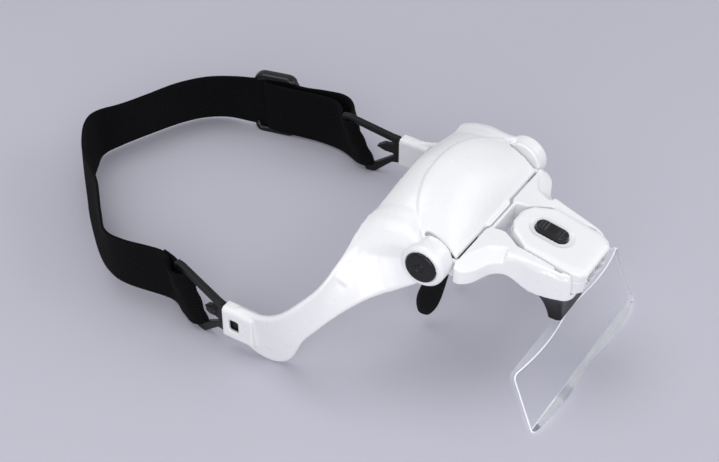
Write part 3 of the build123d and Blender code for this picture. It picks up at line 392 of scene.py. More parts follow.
# The colour after the grain depth is each plastic's edge colour, a painted highlight on convex edges.
WHITE = plastic("mat_white_abs", (0.81, 0.81, 0.818), (0.785, 0.785, 0.796), 0.30, 2200.0, 0.00003,
                (0.83, 0.83, 0.84), coat=0.15, subsurface=0.08)
WHITE_INNER = plastic("mat_white_inner", (0.82, 0.82, 0.83), (0.78, 0.78, 0.80), 0.5, 2200.0, 0.00006,
                      (0.85, 0.85, 0.86))
BLACK = plastic("mat_black_nylon", (0.0045, 0.0045, 0.0055), (0.0025, 0.0025, 0.003),
                0.36, 2600.0, 0.00005, (0.012, 0.012, 0.013), speck=(0.012, 0.012, 0.012), specular=0.3)
BLACK_GLOSS = plastic("mat_black_gloss", (0.004, 0.004, 0.005), (0.0022, 0.0022, 0.0026),
                      0.24, 2600.0, 0.00003, (0.012, 0.012, 0.013), specular=0.4)
RUBBER = plastic("mat_black_rubber", (0.003, 0.003, 0.0035), (0.002, 0.002, 0.0025),
                 0.6, 1800.0, 0.00008, (0.012, 0.012, 0.012), speck=(0.008, 0.008, 0.008), specular=0.15)
STEEL = metal("mat_zinc_steel", (0.66, 0.66, 0.68), (0.46, 0.46, 0.48), 0.28, (1, 1, 6))
CHROME = metal("mat_chrome", (0.88, 0.88, 0.90), (0.78, 0.78, 0.80), 0.10, (1, 1, 1))
BRASS = metal("mat_brass", (0.80, 0.62, 0.30), (0.62, 0.45, 0.20), 0.26, (1, 1, 4))
BOARD = plastic("mat_board", (0.03, 0.22, 0.10), (0.02, 0.15, 0.07),
                0.35, 1500.0, 0.00003, (0.10, 0.32, 0.18))
LED = plastic("mat_led", (0.94, 0.93, 0.84), (0.90, 0.88, 0.70),
              0.16, 1500.0, 0.00002, (0.98, 0.98, 0.95))
ACRYLIC = clear("mat_acrylic", (0.985, 0.988, 0.995), 0.0, 0.05, 0.08)
# The rim acrylics are whitened and made to glow as a painted highlight for the lens's bright edge lines.
ACRYLIC_RIM_HIGHLIGHT = clear("mat_acrylic_rim_highlight", (0.95, 0.965, 0.99), 0.0, 0.04, 0.8, 0.1, 0.03)
ACRYLIC_EDGE_HIGHLIGHT = clear("mat_acrylic_edge_highlight", (0.99, 0.99, 1.0), 0.05, 0.1, 0.9, 0.4, 0.32)
WINDOW = clear("mat_window", (0.97, 0.975, 0.985), 0.02, 0.06, 0.4)
ELASTIC = elastic("mat_elastic")

BY_SLOT = {
    "white_abs": WHITE,
    "white_inner": WHITE_INNER,
    "black_plastic": BLACK,
    "black_rubber": RUBBER,
    "black_elastic": ELASTIC,
    "acrylic": ACRYLIC,
    "clear_window": WINDOW,
    "chrome_plating": CHROME,
    "led_epoxy": LED,
    "board_green": BOARD,
    "spring_brass": BRASS,
    "steel": STEEL,
}
node_slot = {entry["node"]: entry["material_slot"] for entry in frame["record"]["subparts"]}


def paint(obj, mat):
    obj.data.materials.clear()
    obj.data.materials.append(mat)


for node_name, node in nodes.items():
    paint(node, BY_SLOT[node_slot[node_name]])

# ---------------------------------------------------------- skins and outlines


def refine(obj, voxel, rounds, weight=None):
    """Remeshes a piece again after its shape was pressed, then relaxes it."""
    remesh = obj.modifiers.new("remesh", "REMESH")
    remesh.mode = "VOXEL"
    remesh.voxel_size = voxel * MM
    remesh.use_smooth_shade = True
    bake(obj)
    relax(obj, rounds, weight)


def spread(rows, count_rows, count_columns):
    """Smooth grid of points through a coarse grid."""
    across = np.array([curve_through(row, count_columns) for row in rows])
    columns = [curve_through(across[:, j], count_rows) for j in range(count_columns)]
    return np.array(columns).transpose(1, 0, 2)


def sheet(grid, thickness):
    """Closed sheet of a thickness between a grid of points and the same grid moved along its normals."""
    du = np.gradient(grid, axis=0)
    dv = np.gradient(grid, axis=1)
    normal = np.cross(du, dv)
    normal /= np.maximum(np.linalg.norm(normal, axis=2, keepdims=True), 1e-9)
    under = grid + normal * thickness
    rows, columns = grid.shape[:2]
    points = np.vstack([grid.reshape(-1, 3), under.reshape(-1, 3)])
    half = rows * columns
    faces = []
    for i in range(rows - 1):
        for j in range(columns - 1):
            a = i * columns + j
            quad = [a, a + 1, a + columns + 1, a + columns]
            faces.append(quad[::-1])
            faces.append([half + k for k in quad])
    rim = (
        [j for j in range(columns)]
        + [i * columns + columns - 1 for i in range(1, rows)]
        + [(rows - 1) * columns + j for j in range(columns - 2, -1, -1)]
        + [i * columns for i in range(rows - 2, 0, -1)]
    )
    for k, a in enumerate(rim):
        b = rim[(k + 1) % len(rim)]
        faces.append([b, half + b, half + a, a])
    return points, faces


def mirrored(part):
    points, faces = part
    return np.asarray(points) * (-1, 1, 1), [face[::-1] for face in faces]


def along_line(points, line):
    """Distance of each point from a polyline in the plane, and the share of the way along it."""
    best = np.full(len(points), 1e9)
    at = np.zeros(len(points))
    for i in range(len(line) - 1):
        a, b = line[i], line[i + 1]
        step = b - a
        t = np.clip(((points - a) @ step) / (step @ step), 0.0, 1.0)
        far = np.linalg.norm(points - (a + t[:, None] * step), axis=1)
        closer = far < best
        best[closer] = far[closer]
        at[closer] = (i + t[closer]) / (len(line) - 1)
    return best, at


# ------------------------------------------------------------------ the brow

# Skirt: the skin from the dome's side over the boss and down the arm; each row starts at the rear edge
SKIRT = [
    [(27.0, 29.0, 73.4), (27.0, 26.2, 75.2), (27.0, 22.0, 76.7),
     (27.0, 16.0, 78.1), (27.0, 11.0, 78.0), (27.0, 7.5, 77.2)],
    [(31.0, 29.9, 73.1), (31.0, 26.8, 75.1), (31.0, 22.0, 77.0),
     (31.0, 16.0, 78.0), (31.0, 11.0, 77.6), (31.0, 7.5, 76.7)],
    [(36.0, 30.7, 73.0), (36.0, 27.0, 74.7), (36.0, 22.0, 76.1),
     (36.0, 16.0, 76.9), (36.0, 11.0, 76.6), (36.0, 6.5, 75.3)],
    [(41.0, 31.3, 72.0), (41.0, 27.0, 73.8), (41.0, 22.0, 75.0),
     (41.0, 16.0, 75.6), (41.0, 10.5, 75.2), (41.0, 4.5, 74.3)],
    [(45.5, 31.8, 69.6), (45.6, 27.0, 71.4), (45.6, 21.5, 72.5),
     (45.4, 15.5, 72.6), (45.2, 9.5, 72.0), (45.0, 4.0, 72.6)],
    [(49.5, 32.3, 66.6), (49.6, 26.5, 67.8), (49.0, 21.5, 68.2),
     (48.2, 17.5, 68.0), (47.2, 13.5, 67.6), (46.2, 9.4, 67.4)],
    [(54.0, 32.5, 63.1), (53.6, 27.0, 62.4), (51.8, 22.0, 61.8),
     (49.9, 17.8, 61.4), (48.0, 14.0, 61.4), (46.2, 9.8, 62.0)],
    [(58.5, 32.8, 60.4), (58.2, 27.6, 57.9), (56.0, 22.4, 56.0),
     (52.8, 17.6, 55.4), (49.4, 13.0, 56.0), (46.2, 8.0, 58.2)],
    [(63.0, 33.8, 57.0), (62.6, 28.6, 53.0), (60.2, 23.2, 50.0),
     (56.6, 17.2, 49.2), (51.6, 10.8, 50.8), (46.2, 4.6, 55.2)],
]
SKIRT_THICK = 2.6
skirt = sheet(spread(SKIRT, 40, 32), SKIRT_THICK)

# Outline of the raised dome, from one boss's dimple round the back to the other
DOME_LINE = [
    (38.8, 2.6), (37.8, 4.8), (35.6, 7.6), (32.2, 10.4),
    (27.0, 13.8), (20.0, 16.6), (12.0, 18.6), (0.0, 19.2),
]
DOME_SAMPLES = 60
DOME_STEP = 0.35
DIMPLE_AT = (38.9, 3.0, 73.8)
LATCH_AT = (77.0, 16.5)
dome_line = curve_through(DOME_LINE, DOME_SAMPLES)
dome_line = np.vstack([dome_line, (dome_line[:-1] * (-1, 1))[::-1]])


def shape_brow(obj):
    """Raised dome, groove and dimple by each boss, and soft lines on the arms."""
    mesh = obj.data
    p = get_points(mesh)
    n = get_normals(mesh)
    plan = p[:, :2]
    far, _ = along_line(plan, dome_line)
    order = np.argsort(dome_line[:DOME_SAMPLES, 0])
    rear = np.interp(np.abs(plan[:, 0]), dome_line[order, 0], dome_line[order, 1], right=-20.0)
    inside = plan[:, 1] < rear
    signed = np.where(inside, far, -far)
    upward = smoothstep(0.15, 0.5, n[:, 2]) * smoothstep(66.0, 70.0, p[:, 2])
    beside_dome = (np.abs(plan[:, 0]) < np.abs(dome_line[:, 0]).max() + 1.0) | (signed > -8)
    step = smoothstep(-0.8, 0.6, signed) * (2 * DOME_STEP) - DOME_STEP
    on_arm = -DOME_STEP * upward * smoothstep(60.0, 45.0, np.abs(p[:, 0]))
    p[:, 2] += np.where(beside_dome, upward * step, on_arm)
    # Dimple at the groove's rear end
    for side in (-1, 1):
        hole = np.linalg.norm(p - (side * DIMPLE_AT[0], DIMPLE_AT[1], DIMPLE_AT[2]), axis=1)
        p -= n * (0.9 * smoothstep(2.0, 0.4, hole) * upward)[:, None]
    # Faint ridge on the arm behind the boss
    reach = np.hypot(p[:, 1], p[:, 2] - PIVOT_Z)
    ridge = np.exp(-((reach - 17.5) / 0.8) ** 2) * smoothstep(46.0, 48.0, np.abs(p[:, 0]))
    ridge = ridge * smoothstep(4.0, 9.0, p[:, 1])
    p += n * (0.16 * ridge)[:, None]
    set_points(mesh, p)


def brow_weight(points):
    """Strong smoothing on the skirt and the arms, little near the boss recess, slots and sockets."""
    x, y, z = np.abs(points[:, 0]), points[:, 1], points[:, 2]
    boss = np.hypot(y, z - PIVOT_Z)
    behind = y + np.where(x > 40.0, 9.0, 0.0)
    front = smoothstep(11.2, 14.5, boss) * smoothstep(24.0, 32.0, x)
    front = front * smoothstep(0.0, 5.0, behind) * smoothstep(63.5, 60.0, y)
    window = np.hypot(y - LATCH_AT[0], z - LATCH_AT[1])
    socket = 0.7 * smoothstep(60.0, 63.0, y) * smoothstep(82.2, 80.5, y) * smoothstep(4.4, 6.2, window)
    return np.maximum(front, socket)


brow = soften("brow_skin", ["brow_shell"], 0.55, 3, "head_frame",
              extra=[skirt, mirrored(skirt)])
relax(brow, 45, brow_weight, shrink=0.01)
shape_brow(brow)
relax(brow, 1)
paint(brow, WHITE)

# ---------------------------------------------------------------- the bracket

BRACKET_LINE = np.array([
    (40.4, -11.0), (40.2, -14.0), (37.4, -17.0), (32.5, -19.9), (27.0, -22.3), (23.9, -25.6),
    (22.3, -30.0), (21.2, -35.0), (20.3, -40.5), (18.9, -48.0), (18.2, -50.8), (16.6, -53.4),
    (13.2, -54.7), (8.0, -54.7),
])
BRACKET_CREASE = [63.0, 62.6, 62.2, 61.8, 61.4, 61.2, 60.8, 60.2, 59.2, 57.6, 57.0, 56.6, 56.2, 56.0]
BRACKET_TOP = 65.4
NOTCH_DEEP = 2.2
BRACKET_SLOPE = [3.0, 4.5, 6.0, 6.6, 6.0, 4.6, 3.8, 3.4, 3.2, 3.0, 2.8, 2.6, 2.4, 2.4]


def lamp_top(y):
    """Height of the lamp's top face."""
    return LAMP_ORIGIN[2] + (y - LAMP_ORIGIN[1]) * math.tan(PITCH)


def press_bracket(obj):
    """Slopes the wings and cheeks down to a soft crease above the side walls."""
    p = get_points(obj.data)
    plan = np.abs(p[:, :2]) * (1, -1)
    far, at = along_line(plan, BRACKET_LINE)
    stations = np.linspace(0, 1, len(BRACKET_LINE))
    crease = np.interp(at, stations, BRACKET_CREASE)
    width = np.interp(at, stations, BRACKET_SLOPE)
    cheek = smoothstep(-23.0, -29.0, p[:, 1])
    crest = BRACKET_TOP * (1 - cheek) + (lamp_top(p[:, 1]) - 0.3) * cheek
    t = np.clip(far / width, 0.0, 1.0)
    rise = np.where(cheek > 0.5, np.sqrt(np.clip(1 - (1 - t) ** 2.2, 0, 1)), t * (1.35 - 0.35 * t))
    allowed = crease + (crest - crease) * rise
    notch = smoothstep(-49.4, -48.8, p[:, 1]) * smoothstep(-45.4, -46.0, p[:, 1])
    notch *= smoothstep(17.0, 16.5, np.abs(p[:, 0]))
    notch *= smoothstep(14.0, 14.5, np.abs(p[:, 0])) * smoothstep(57.0, 58.0, p[:, 2])
    p[:, 2] -= NOTCH_DEEP * notch
    over = (p[:, 2] > allowed) & (np.abs(p[:, 0]) > 11.0) & (p[:, 1] < -11.4) & (far < width)
    p[over, 2] = allowed[over]
    set_points(obj.data, p)


bracket = soften("bracket_skin", ["visor_bracket"], 0.45, 0, "visor")
press_bracket(bracket)
refine(bracket, 0.42, 5)
paint(bracket, WHITE)

# ------------------------------------------------------------------- the lamp


def lamp_local(points):
    rel = points - LAMP_ORIGIN
    return np.stack([rel[:, 0], rel @ LAMP_ALONG, rel @ LAMP_UP], axis=1)


def lamp_world(local):
    local = np.asarray(local, float)
    return LAMP_ORIGIN + local[:, :1] * (1.0, 0, 0) + local[:, 1:2] * LAMP_ALONG + local[:, 2:3] * LAMP_UP


LAMP_LINE = np.array([
    (0.0, 1.0), (3.0, 1.0), (9.2, -2.2), (15.0, -10.8),
    (15.0, -33.4), (13.5, -37.0), (10.4, -39.0), (0.0, -39.0),
])
LAMP_STATIONS = [0, 2, 3, 4, 5, 7]
SHOULDER_WIDE = [1.8, 2.0, 2.2, 4.4, 6.0, 6.0]
SHOULDER_DROP = [0.7, 0.8, 0.9, 1.7, 2.4, 2.3]
BUTTON_AT = (0.0, -15.7)


def shape_lamp(obj):
    """Crowned top with soft shoulders, and a shallow dished ring round the button."""
    mesh = obj.data
    local = lamp_local(get_points(mesh))
    plan = np.stack([np.abs(local[:, 0]), local[:, 1]], axis=1)
    far, at = along_line(plan, LAMP_LINE)
    station = at * (len(LAMP_LINE) - 1)
    width = np.interp(station, LAMP_STATIONS, SHOULDER_WIDE)
    drop = np.interp(station, LAMP_STATIONS, SHOULDER_DROP)
    t = np.clip(far / width, 0.0, 1.0)
    allowed = -drop * (1 - np.sqrt(np.clip(1 - (1 - t) ** 2, 0, 1)))
    over = (local[:, 2] > allowed) & (local[:, 2] > -4.0) & (far < width)
    local[over, 2] = allowed[over]
    reach = np.hypot(local[:, 0], np.clip(np.abs(local[:, 1] - BUTTON_AT[1]) - 4.1, 0, None))
    ring = smoothstep(3.3, 4.2, reach) * smoothstep(6.6, 5.4, reach)
    local[:, 2] -= 0.55 * ring * smoothstep(-1.2, -0.6, local[:, 2])
    set_points(mesh, lamp_world(local))


lamp_top_skin = soften("lamp_top_skin", ["lamp_upper_housing"], 0.35, 0, "lamp")
shape_lamp(lamp_top_skin)
refine(lamp_top_skin, 0.32, 4)
paint(lamp_top_skin, WHITE)
lamp_low = soften("lamp_low_skin", ["lamp_lower_housing"], 0.35, 2, "lamp")
paint(lamp_low, WHITE)

# -------------------------------------------------- small black moulded parts


def shape_button(obj):
    """Grip ridges at both ends of the button and a shallow dish between them."""
    local = lamp_local(get_points(obj.data))
    along = local[:, 1] - BUTTON_AT[1]
    ridge = np.cos(2 * math.pi * along / 1.5) * smoothstep(1.2, 2.0, np.abs(along))
    ridge = ridge * smoothstep(6.6, 5.8, np.abs(along))
    top = smoothstep(0.4, 0.9, local[:, 2] - local[:, 2].max() + 1.6)
    inner = smoothstep(3.2, 2.6, np.abs(local[:, 0]))
    dish = 0.35 * smoothstep(4.0, 0.0, np.abs(along)) * inner
    local[:, 2] += top * (0.13 * ridge * inner - dish)
    set_points(obj.data, lamp_world(local))


for piece_name, node_name, voxel, rounds, body, mat in (
    ("lens_clip_skin", "lens_clip", 0.32, 3, "visor", BLACK),
    ("nose_bridge_skin", "nose_bridge", 0.32, 4, "head_frame", BLACK),
    ("nose_pad_right_skin", "nose_pad_right", 0.32, 8, "nose_pad_right", RUBBER),
    ("nose_pad_left_skin", "nose_pad_left", 0.32, 8, "nose_pad_left", RUBBER),
    ("clip_right_skin", "strap_clip_right", 0.3, 4, "strap", BLACK),
    ("clip_left_skin", "strap_clip_left", 0.3, 4, "strap", BLACK),
    ("button_skin", "switch_button", 0.2, 3, "switch_button", BLACK_GLOSS),
    ("cap_right_skin", "pivot_cap_right", 0.18, 2, "head_frame", BLACK_GLOSS),
    ("cap_left_skin", "pivot_cap_left", 0.18, 2, "head_frame", BLACK_GLOSS),
):
    piece = soften(piece_name, [node_name], voxel, rounds, body)
    paint(piece, mat)
    if node_name == "switch_button":
        shape_button(piece)

# ------------------------------------------------------------------ the strap

# Lower and upper edge of the strap, from its short fold in the wearer's right clip, round the back of
# the head and the left clip's bar, to the end that comes back into the slider
STRAP_LOW = [
    (-61.2, 122.5, 1.6), (-63.2, 113.0, 1.8), (-66.4, 104.8, 2.6), (-68.2, 100.2, 3.4),
    (-70.9, 96.4, 3.6), (-73.7, 99.8, 3.2), (-72.8, 104.4, 2.2), (-69.4, 111.0, 1.4),
    (-64.2, 122.0, 1.0), (-67.2, 146.0, 0.8), (-64.4, 159.0, 0.8), (-56.2, 172.6, 0.8),
    (-42.5, 188.5, 0.8), (-30.1, 201.2, 0.8), (-17.8, 210.0, 0.9), (-6.0, 217.0, 1.0),
    (5.0, 221.8, 1.0), (17.0, 219.0, 1.0), (33.5, 213.0, 1.0), (49.0, 206.0, 1.0),
    (60.5, 198.5, 1.0), (67.6, 188.0, 1.2), (70.2, 174.0, 1.8), (72.0, 164.0, 2.0),
    (73.2, 159.0, 2.0), (74.6, 153.0, 1.9), (76.4, 145.0, 1.2), (78.4, 130.0, 1.0),
    (78.4, 117.0, 1.2), (76.0, 107.0, 1.8), (73.7, 100.4, 3.2), (71.0, 96.4, 3.6),
    (68.2, 100.0, 3.4), (69.4, 105.0, 2.4), (72.8, 112.0, 1.6), (75.4, 121.0, 1.2),
    (75.4, 133.0, 1.0), (72.6, 147.0, 1.4), (70.2, 157.0, 2.2), (69.8, 162.0, 2.4),
]
STRAP_TOP = [
    (-62.6, 125.5, 27.6), (-63.8, 119.8, 27.4), (-65.2, 115.0, 27.2), (-66.0, 110.6, 27.0),
    (-68.8, 106.6, 26.8), (-71.8, 110.0, 27.0), (-72.4, 114.6, 27.4), (-69.6, 119.2, 28.0),
    (-66.6, 122.6, 31.0), (-69.8, 143.0, 31.0), (-68.8, 155.0, 31.0), (-59.5, 165.5, 31.0),
    (-42.6, 182.0, 31.0), (-28.6, 201.0, 31.0), (-15.2, 214.0, 31.0), (-5.0, 219.8, 31.0),
    (3.0, 219.8, 31.0), (14.0, 213.8, 31.0), (29.0, 207.2, 31.0), (45.0, 200.8, 31.0),
    (57.0, 192.0, 31.0), (65.2, 180.0, 31.2), (69.8, 169.5, 31.6), (72.2, 163.0, 31.8),
    (73.4, 158.6, 31.8), (74.8, 152.6, 31.6), (77.0, 143.0, 31.0), (80.4, 132.0, 31.0),
    (82.4, 121.6, 30.8), (79.2, 114.8, 29.8), (71.8, 111.4, 28.8), (68.7, 107.5, 28.3),
    (66.0, 111.2, 28.6), (68.2, 115.4, 29.6), (73.2, 118.6, 30.4), (75.6, 124.6, 31.0),
    (74.2, 137.0, 31.2), (71.6, 149.0, 31.2), (70.2, 158.5, 31.0), (69.8, 164.0, 31.0),
]
CLIP_BARS = np.array([[-69.8, 105.2, 16.0], [69.8, 105.2, 16.0]])
RIB_COUNT = 18
STRAP_HALF = 0.72
STRAP_STEP = 0.78


def through(points, per_span):
    """Catmull-Rom curve with the same number of samples in every span."""
    p = np.asarray(points, float)
    p = np.vstack([2 * p[0] - p[1], p, 2 * p[-1] - p[-2]])
    t = np.linspace(0, 1, per_span, endpoint=False)[:, None]
    out = []
    for i in range(1, len(p) - 2):
        a, b, c, d = p[i - 1:i + 3]
        square = 2 * a - 5 * b + 4 * c - d
        cube = 3 * b - a - 3 * c + d
        out.append(0.5 * ((2 * b) + (c - a) * t + square * t**2 + cube * t**3))
    return np.vstack(out + [p[-2:-1]])


def ribbon(name, low, top, body):
    """Elastic between its two edges.

    Ribs run along it, its long edges are rolled, and it puckers at the clips.
    """
    low, top = through(low, 30), through(top, 30)
    middle = (low + top) / 2
    run = np.concatenate([[0], np.cumsum(np.linalg.norm(np.diff(middle, axis=0), axis=1))])
    steps = int(run[-1] / STRAP_STEP)
    pick = np.linspace(0, run[-1], steps)
    low = np.stack([np.interp(pick, run, low[:, k]) for k in range(3)], axis=1)
    top = np.stack([np.interp(pick, run, top[:, k]) for k in range(3)], axis=1)
    middle = (low + top) / 2
    along = np.gradient(middle, axis=0)
    along /= np.linalg.norm(along, axis=1, keepdims=True)
    across = top - low
    height = np.linalg.norm(across, axis=1, keepdims=True)
    across /= height
    out = np.cross(along, across)
    out /= np.linalg.norm(out, axis=1, keepdims=True)
    v = np.linspace(0.0, 1.0, 5 * RIB_COUNT + 1)
    thin = np.minimum(1.0, np.sqrt(np.clip(np.minimum(v, 1 - v) / 0.02, 0, 1)) * 0.85 + 0.15)
    half = thin * (STRAP_HALF + 0.09 * np.cos(2 * math.pi * v * RIB_COUNT))
    ring_v = np.concatenate([v, v[::-1]])
    ring_d = np.concatenate([half, -half[::-1]])
    sections = []
    for i in range(steps):
        bar = np.exp(-(np.linalg.norm(CLIP_BARS - middle[i], axis=1).min() / 11.0) ** 2)
        sag = 0.4 * (1 - bar) * np.sin(math.pi * ring_v) * np.sin(pick[i] * 0.035)
        wobble = 0.20 * (1 - bar) * np.sin(pick[i] * 0.13 + 1.3) * np.cos(2.4 * ring_v + pick[i] * 0.05)
        pucker = 0.30 * bar * np.sin(2 * math.pi * (2.6 * ring_v + 0.03 * pick[i]))
        depth = ring_d * (1 + 0.04 * np.sin(pick[i] * 5.7 + ring_v * 9.0)) + sag + wobble + pucker
        sections.append(low[i] + np.outer(ring_v * height[i], across[i]) + np.outer(depth, out[i]))
    points, faces = swept(sections)
    obj = new_piece(name, points, [face[::-1] for face in faces], body)
    layer = obj.data.uv_layers.new(name="UVMap")
    uv = np.stack([np.repeat(pick, len(ring_v)), np.tile(ring_v * 30.0, steps)], axis=1)
    loops = np.empty(len(obj.data.loops), np.int32)
    obj.data.loops.foreach_get("vertex_index", loops)
    layer.data.foreach_set("uv", uv[loops].astype(np.float32).ravel())
    paint(obj, ELASTIC)
    return obj


strap = ribbon("strap_skin", STRAP_LOW, STRAP_TOP, "strap")
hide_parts("strap_band")

# ----------------------------------------------------------------- the slider

SLIDER_MIDDLE = np.array([73.16, 159.08, 16.8])
SLIDER_ALONG = np.array([0.234641, -0.972082, 0.0])
SLIDER_OUT = np.array([0.972082, 0.234641, 0.0])


def slider_point(along, up, out):
    """Point of the slider; its top leans out a little."""
    lean = 1.6 * smoothstep(0.0, 16.8, np.asarray(up, float))
    return SLIDER_MIDDLE + along * SLIDER_ALONG + (0, 0, up) + (out + lean) * SLIDER_OUT


def rounded_ring(half_along, half_up, corner, count):
    """Rounded rectangle as (along, up) points."""
    points = []
    for quarter, (sx, sy) in enumerate(((1, 1), (-1, 1), (-1, -1), (1, -1))):
        for t in np.linspace(0, math.pi / 2, count):
            angle = quarter * math.pi / 2 + t
            points.append((sx * (half_along - corner) + corner * math.cos(angle),
                           sy * (half_up - corner) + corner * math.sin(angle)))
    return np.array(points)


def rail_section(centre, tangent, half_wide, half_thick, count=20):
    """Rounded oblong section across a path in the slider's plane."""
    side = np.array([tangent[1], -tangent[0]])
    section = []
    for t in np.linspace(0, 2 * math.pi, count, endpoint=False):
        c, s = math.cos(t), math.sin(t)
        wide = half_wide * math.copysign(abs(c) ** 0.7, c)
        thick = half_thick * math.copysign(abs(s) ** 0.7, s)
        place = centre + side * wide
        behind = 2.3 * smoothstep(14.2, 11.5, abs(place[1]))
        section.append(slider_point(place[0], place[1], thick + behind))
    return section


def build_slider_skin():
    """Rounded frame swept along a ring, with a bar across its middle."""
    half_along, half_up, corner, arc = 10.8, 16.0, 4.6, 12
    corners = rounded_ring(half_along, half_up, corner, arc)
    ring = np.vstack([
        corners[:arc], [(x, half_up) for x in (4.0, 0.0, -4.0)],
        corners[arc:2 * arc], [(-half_along, up) for up in (6.0, 0.0, -6.0)],
        corners[2 * arc:3 * arc], [(x, -half_up) for x in (-4.0, 0.0, 4.0)],
        corners[3 * arc:], [(half_along, up) for up in (-6.0, 0.0, 6.0)],
    ])
    tangents = np.roll(ring, -1, axis=0) - np.roll(ring, 1, axis=0)
    tangents /= np.linalg.norm(tangents, axis=1, keepdims=True)
    sections = []
    for p, t in zip(ring, tangents):
        end = smoothstep(11.0, 15.5, abs(p[1]))
        sections.append(rail_section(p, t, 1.3 + 0.55 * end, 1.1 + 2.0 * end))
    points, faces = swept(sections, caps=False)
    n_side = len(sections[0])
    last = (len(ring) - 1) * n_side
    faces += [[last + j, last + (j + 1) % n_side, (j + 1) % n_side, j] for j in range(n_side)]
    upright = np.array([0.0, 1.0])
    bar = [rail_section(np.array([0.0, up]), upright, 1.6, 0.8) for up in np.linspace(-15.6, 15.6, 14)]
    bar_points, bar_faces = swept(bar)
    faces += [[i + len(points) for i in face] for face in bar_faces]
    obj = new_piece("slider_skin", np.vstack([points, bar_points]), faces, "strap_slider")
    refine(obj, 0.3, 3)
    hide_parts("strap_slider")
    paint(obj, BLACK_GLOSS)


build_slider_skin()

# ------------------------------------------------------------------- the lens

LENS_FOOT = np.array([0.0, LENS_BOTTOM_Y, LENS_BOTTOM_Z])
LENS_UP = np.array([0.0, math.sin(LENS_LEAN), math.cos(LENS_LEAN)])
LENS_FRONT = np.array([0.0, -math.cos(LENS_LEAN), math.sin(LENS_LEAN)])


def lens_point(x, up, depth):
    return LENS_FOOT + x * np.array([1.0, 0, 0]) + up * LENS_UP + depth * LENS_FRONT


def lens_depth(x):
    """Front face of the lens: two lobes with a soft dip between them."""
    a = np.sqrt(np.asarray(x, float) ** 2 + 6.5**2) - 2.4
    return 2.8 + 0.2874 * a - 0.006045 * a * a


def build_lens_skin():
    """Front and back faces with a polished, slightly bevelled rim that carries a painted highlight, and the
    tab held by the clip.
    """
    columns, rows, corner, bevel = 97, 33, 2.6, 0.35
    height = 30.2
    shares = [0.5 * (1 - math.cos(math.pi * j / (rows - 1))) for j in range(rows)]
    points, faces = [], []

    def place(i, j, inset, layer):
        up = height * shares[j]
        half = 50.8 - 1.0 * shares[j]
        edge = min(corner, up, height - up)
        half -= corner - math.sqrt(max(corner**2 - (corner - edge) ** 2, 0.0))
        x = (half - inset) * (2 * i / (columns - 1) - 1)
        up = inset + (height - 2 * inset) * shares[j]
        front = float(lens_depth(x))
        return lens_point(x, up, (0.0, bevel, front - bevel, front)[layer])

    index = {}
    for layer, inset in enumerate((bevel, 0.0, 0.0, bevel)):
        for j in range(rows):
            for i in range(columns):
                rim = i in (0, columns - 1) or j in (0, rows - 1)
                if layer in (1, 2) and not rim:
                    continue
                index[layer, i, j] = len(points)
                points.append(place(i, j, inset, layer))
    for j in range(rows - 1):
        for i in range(columns - 1):
            for layer, flip in ((0, True), (3, False)):
                around = ((i, j), (i + 1, j), (i + 1, j + 1), (i, j + 1))
                quad = [index[layer, column, row] for column, row in around]
                faces.append(quad[::-1] if flip else quad)
    face_count = len(faces)
    rim = (
        [(i, 0) for i in range(columns)]
        + [(columns - 1, j) for j in range(1, rows)]
        + [(i, rows - 1) for i in range(columns - 2, -1, -1)]
        + [(0, j) for j in range(rows - 2, 0, -1)]
    )
    for k, (i, j) in enumerate(rim):
        m, n = rim[(k + 1) % len(rim)]
        for layer in range(3):
            near, far = index[layer, i, j], index[layer, m, n]
            faces.append([near, far, index[layer + 1, m, n], index[layer + 1, i, j]])
    tab = []
    for up, half in ((29.9, 7.9), (40.0, 7.9), (40.2, 7.6)):
        tab.append([lens_point(x, up, d) for x, d in ((-half, 0.5), (half, 0.5), (half, 2.5), (-half, 2.5))])
    tab_points, tab_faces = swept(tab)
    offset = len(points)
    faces += [[k + offset for k in face] for face in tab_faces]
    obj = new_piece("lens_skin", np.vstack([points, tab_points]), faces, "lens")
    obj.data.polygons.foreach_set("use_smooth", [f < face_count for f in range(len(obj.data.polygons))])
    paint(obj, ACRYLIC)
    obj.data.materials.append(ACRYLIC_RIM_HIGHLIGHT)
    obj.data.materials.append(ACRYLIC_EDGE_HIGHLIGHT)
    # Rim and tab faces take the rim acrylics, whose whitening and glow are a painted highlight.
    rim_slots = [0] * face_count + [1, 1, 2] * len(rim) + [1] * len(tab_faces)
    obj.data.polygons.foreach_set("material_index", rim_slots)
    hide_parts("lens")
    return obj


build_lens_skin()

# ---------------------------------------------------------------- the stage


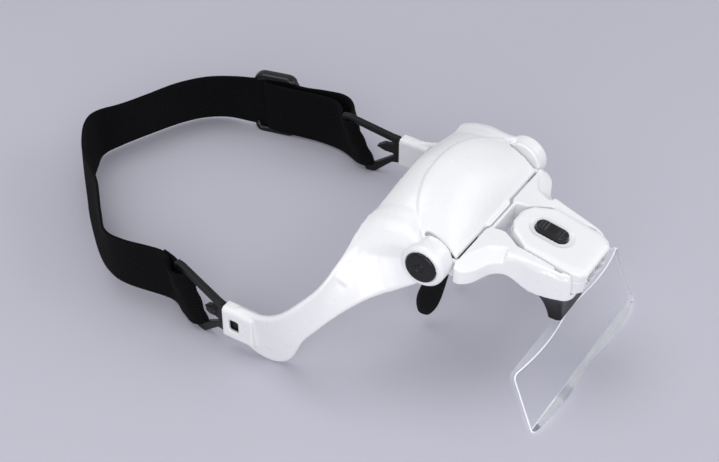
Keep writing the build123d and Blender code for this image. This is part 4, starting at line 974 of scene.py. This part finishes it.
def build_stage():
    floor_mesh = bpy.data.meshes.new("floor")
    size = 4.0
    steps = 24
    points = []
    for j in range(steps + 1):
        for i in range(steps + 1):
            points.append((size * (i / steps - 0.5), size * (j / steps - 0.5), 0.0))
    row = steps + 1
    faces = [
        (j * row + i, j * row + i + 1, (j + 1) * row + i + 1, (j + 1) * row + i)
        for j in range(steps)
        for i in range(steps)
    ]
    floor_mesh.from_pydata(points, [], faces)
    floor = bpy.data.objects.new("floor", floor_mesh)
    scene.collection.objects.link(floor)
    mat, tree, shader = material("mat_floor")
    colour = ramp(tree, noise(tree, 4.0, 3.0), [(0.3, (0.475, 0.470, 0.540)), (0.7, (0.490, 0.486, 0.556))])
    tree.links.new(colour, shader.inputs["Base Color"])
    shader.inputs["Roughness"].default_value = 0.55
    bump(tree, noise(tree, 900.0, 3.0), shader, 0.1, 0.0001)
    paint(floor, mat)

    def softbox(name, where, target, size, power):
        light = bpy.data.lights.new(name, "AREA")
        light.shape = "RECTANGLE"
        light.size, light.size_y = size
        light.energy = power
        obj = bpy.data.objects.new(name, light)
        scene.collection.objects.link(obj)
        obj.location = where
        obj.rotation_mode = "QUATERNION"
        obj.rotation_quaternion = (Vector(target) - Vector(where)).to_track_quat("-Z", "Y")

    softbox("key", (-0.05, 0.45, 1.25), (0, 0.05, 0), (0.9, 0.7), 4.6)
    softbox("fill", (-1.0, -0.55, 0.65), (0, 0.05, 0.03), (1.1, 0.8), 9.6)
    softbox("side", (0.6, -0.8, 0.7), (0, 0.0, 0), (0.8, 0.6), 3.0)
    world = bpy.data.worlds.new("world")
    world.use_nodes = True
    back = world.node_tree.nodes["Background"]
    back.inputs["Color"].default_value = (0.86, 0.87, 0.92, 1)
    back.inputs["Strength"].default_value = 0.6
    scene.world = world
    scene.view_settings.view_transform = "Standard"
    scene.view_settings.look = "None"

    cam_data = bpy.data.cameras.new("camera")
    cam_data.sensor_width = 36.0
    cam_data.lens = 75.1
    cam = bpy.data.objects.new("camera", cam_data)
    scene.collection.objects.link(cam)
    cam.location = Vector((-454.3, -231.0, 465.0)) * MM
    cam.rotation_mode = "QUATERNION"
    azimuth, elevation = math.radians(-57.35), math.radians(39.24)
    forward = Vector((
        -math.sin(azimuth) * math.cos(elevation),
        math.cos(azimuth) * math.cos(elevation),
        -math.sin(elevation),
    ))
    cam.rotation_quaternion = forward.to_track_quat("-Z", "Y")
    cam_data.clip_start = 0.01
    cam_data.clip_end = 20.0
    scene.camera = cam


build_stage()
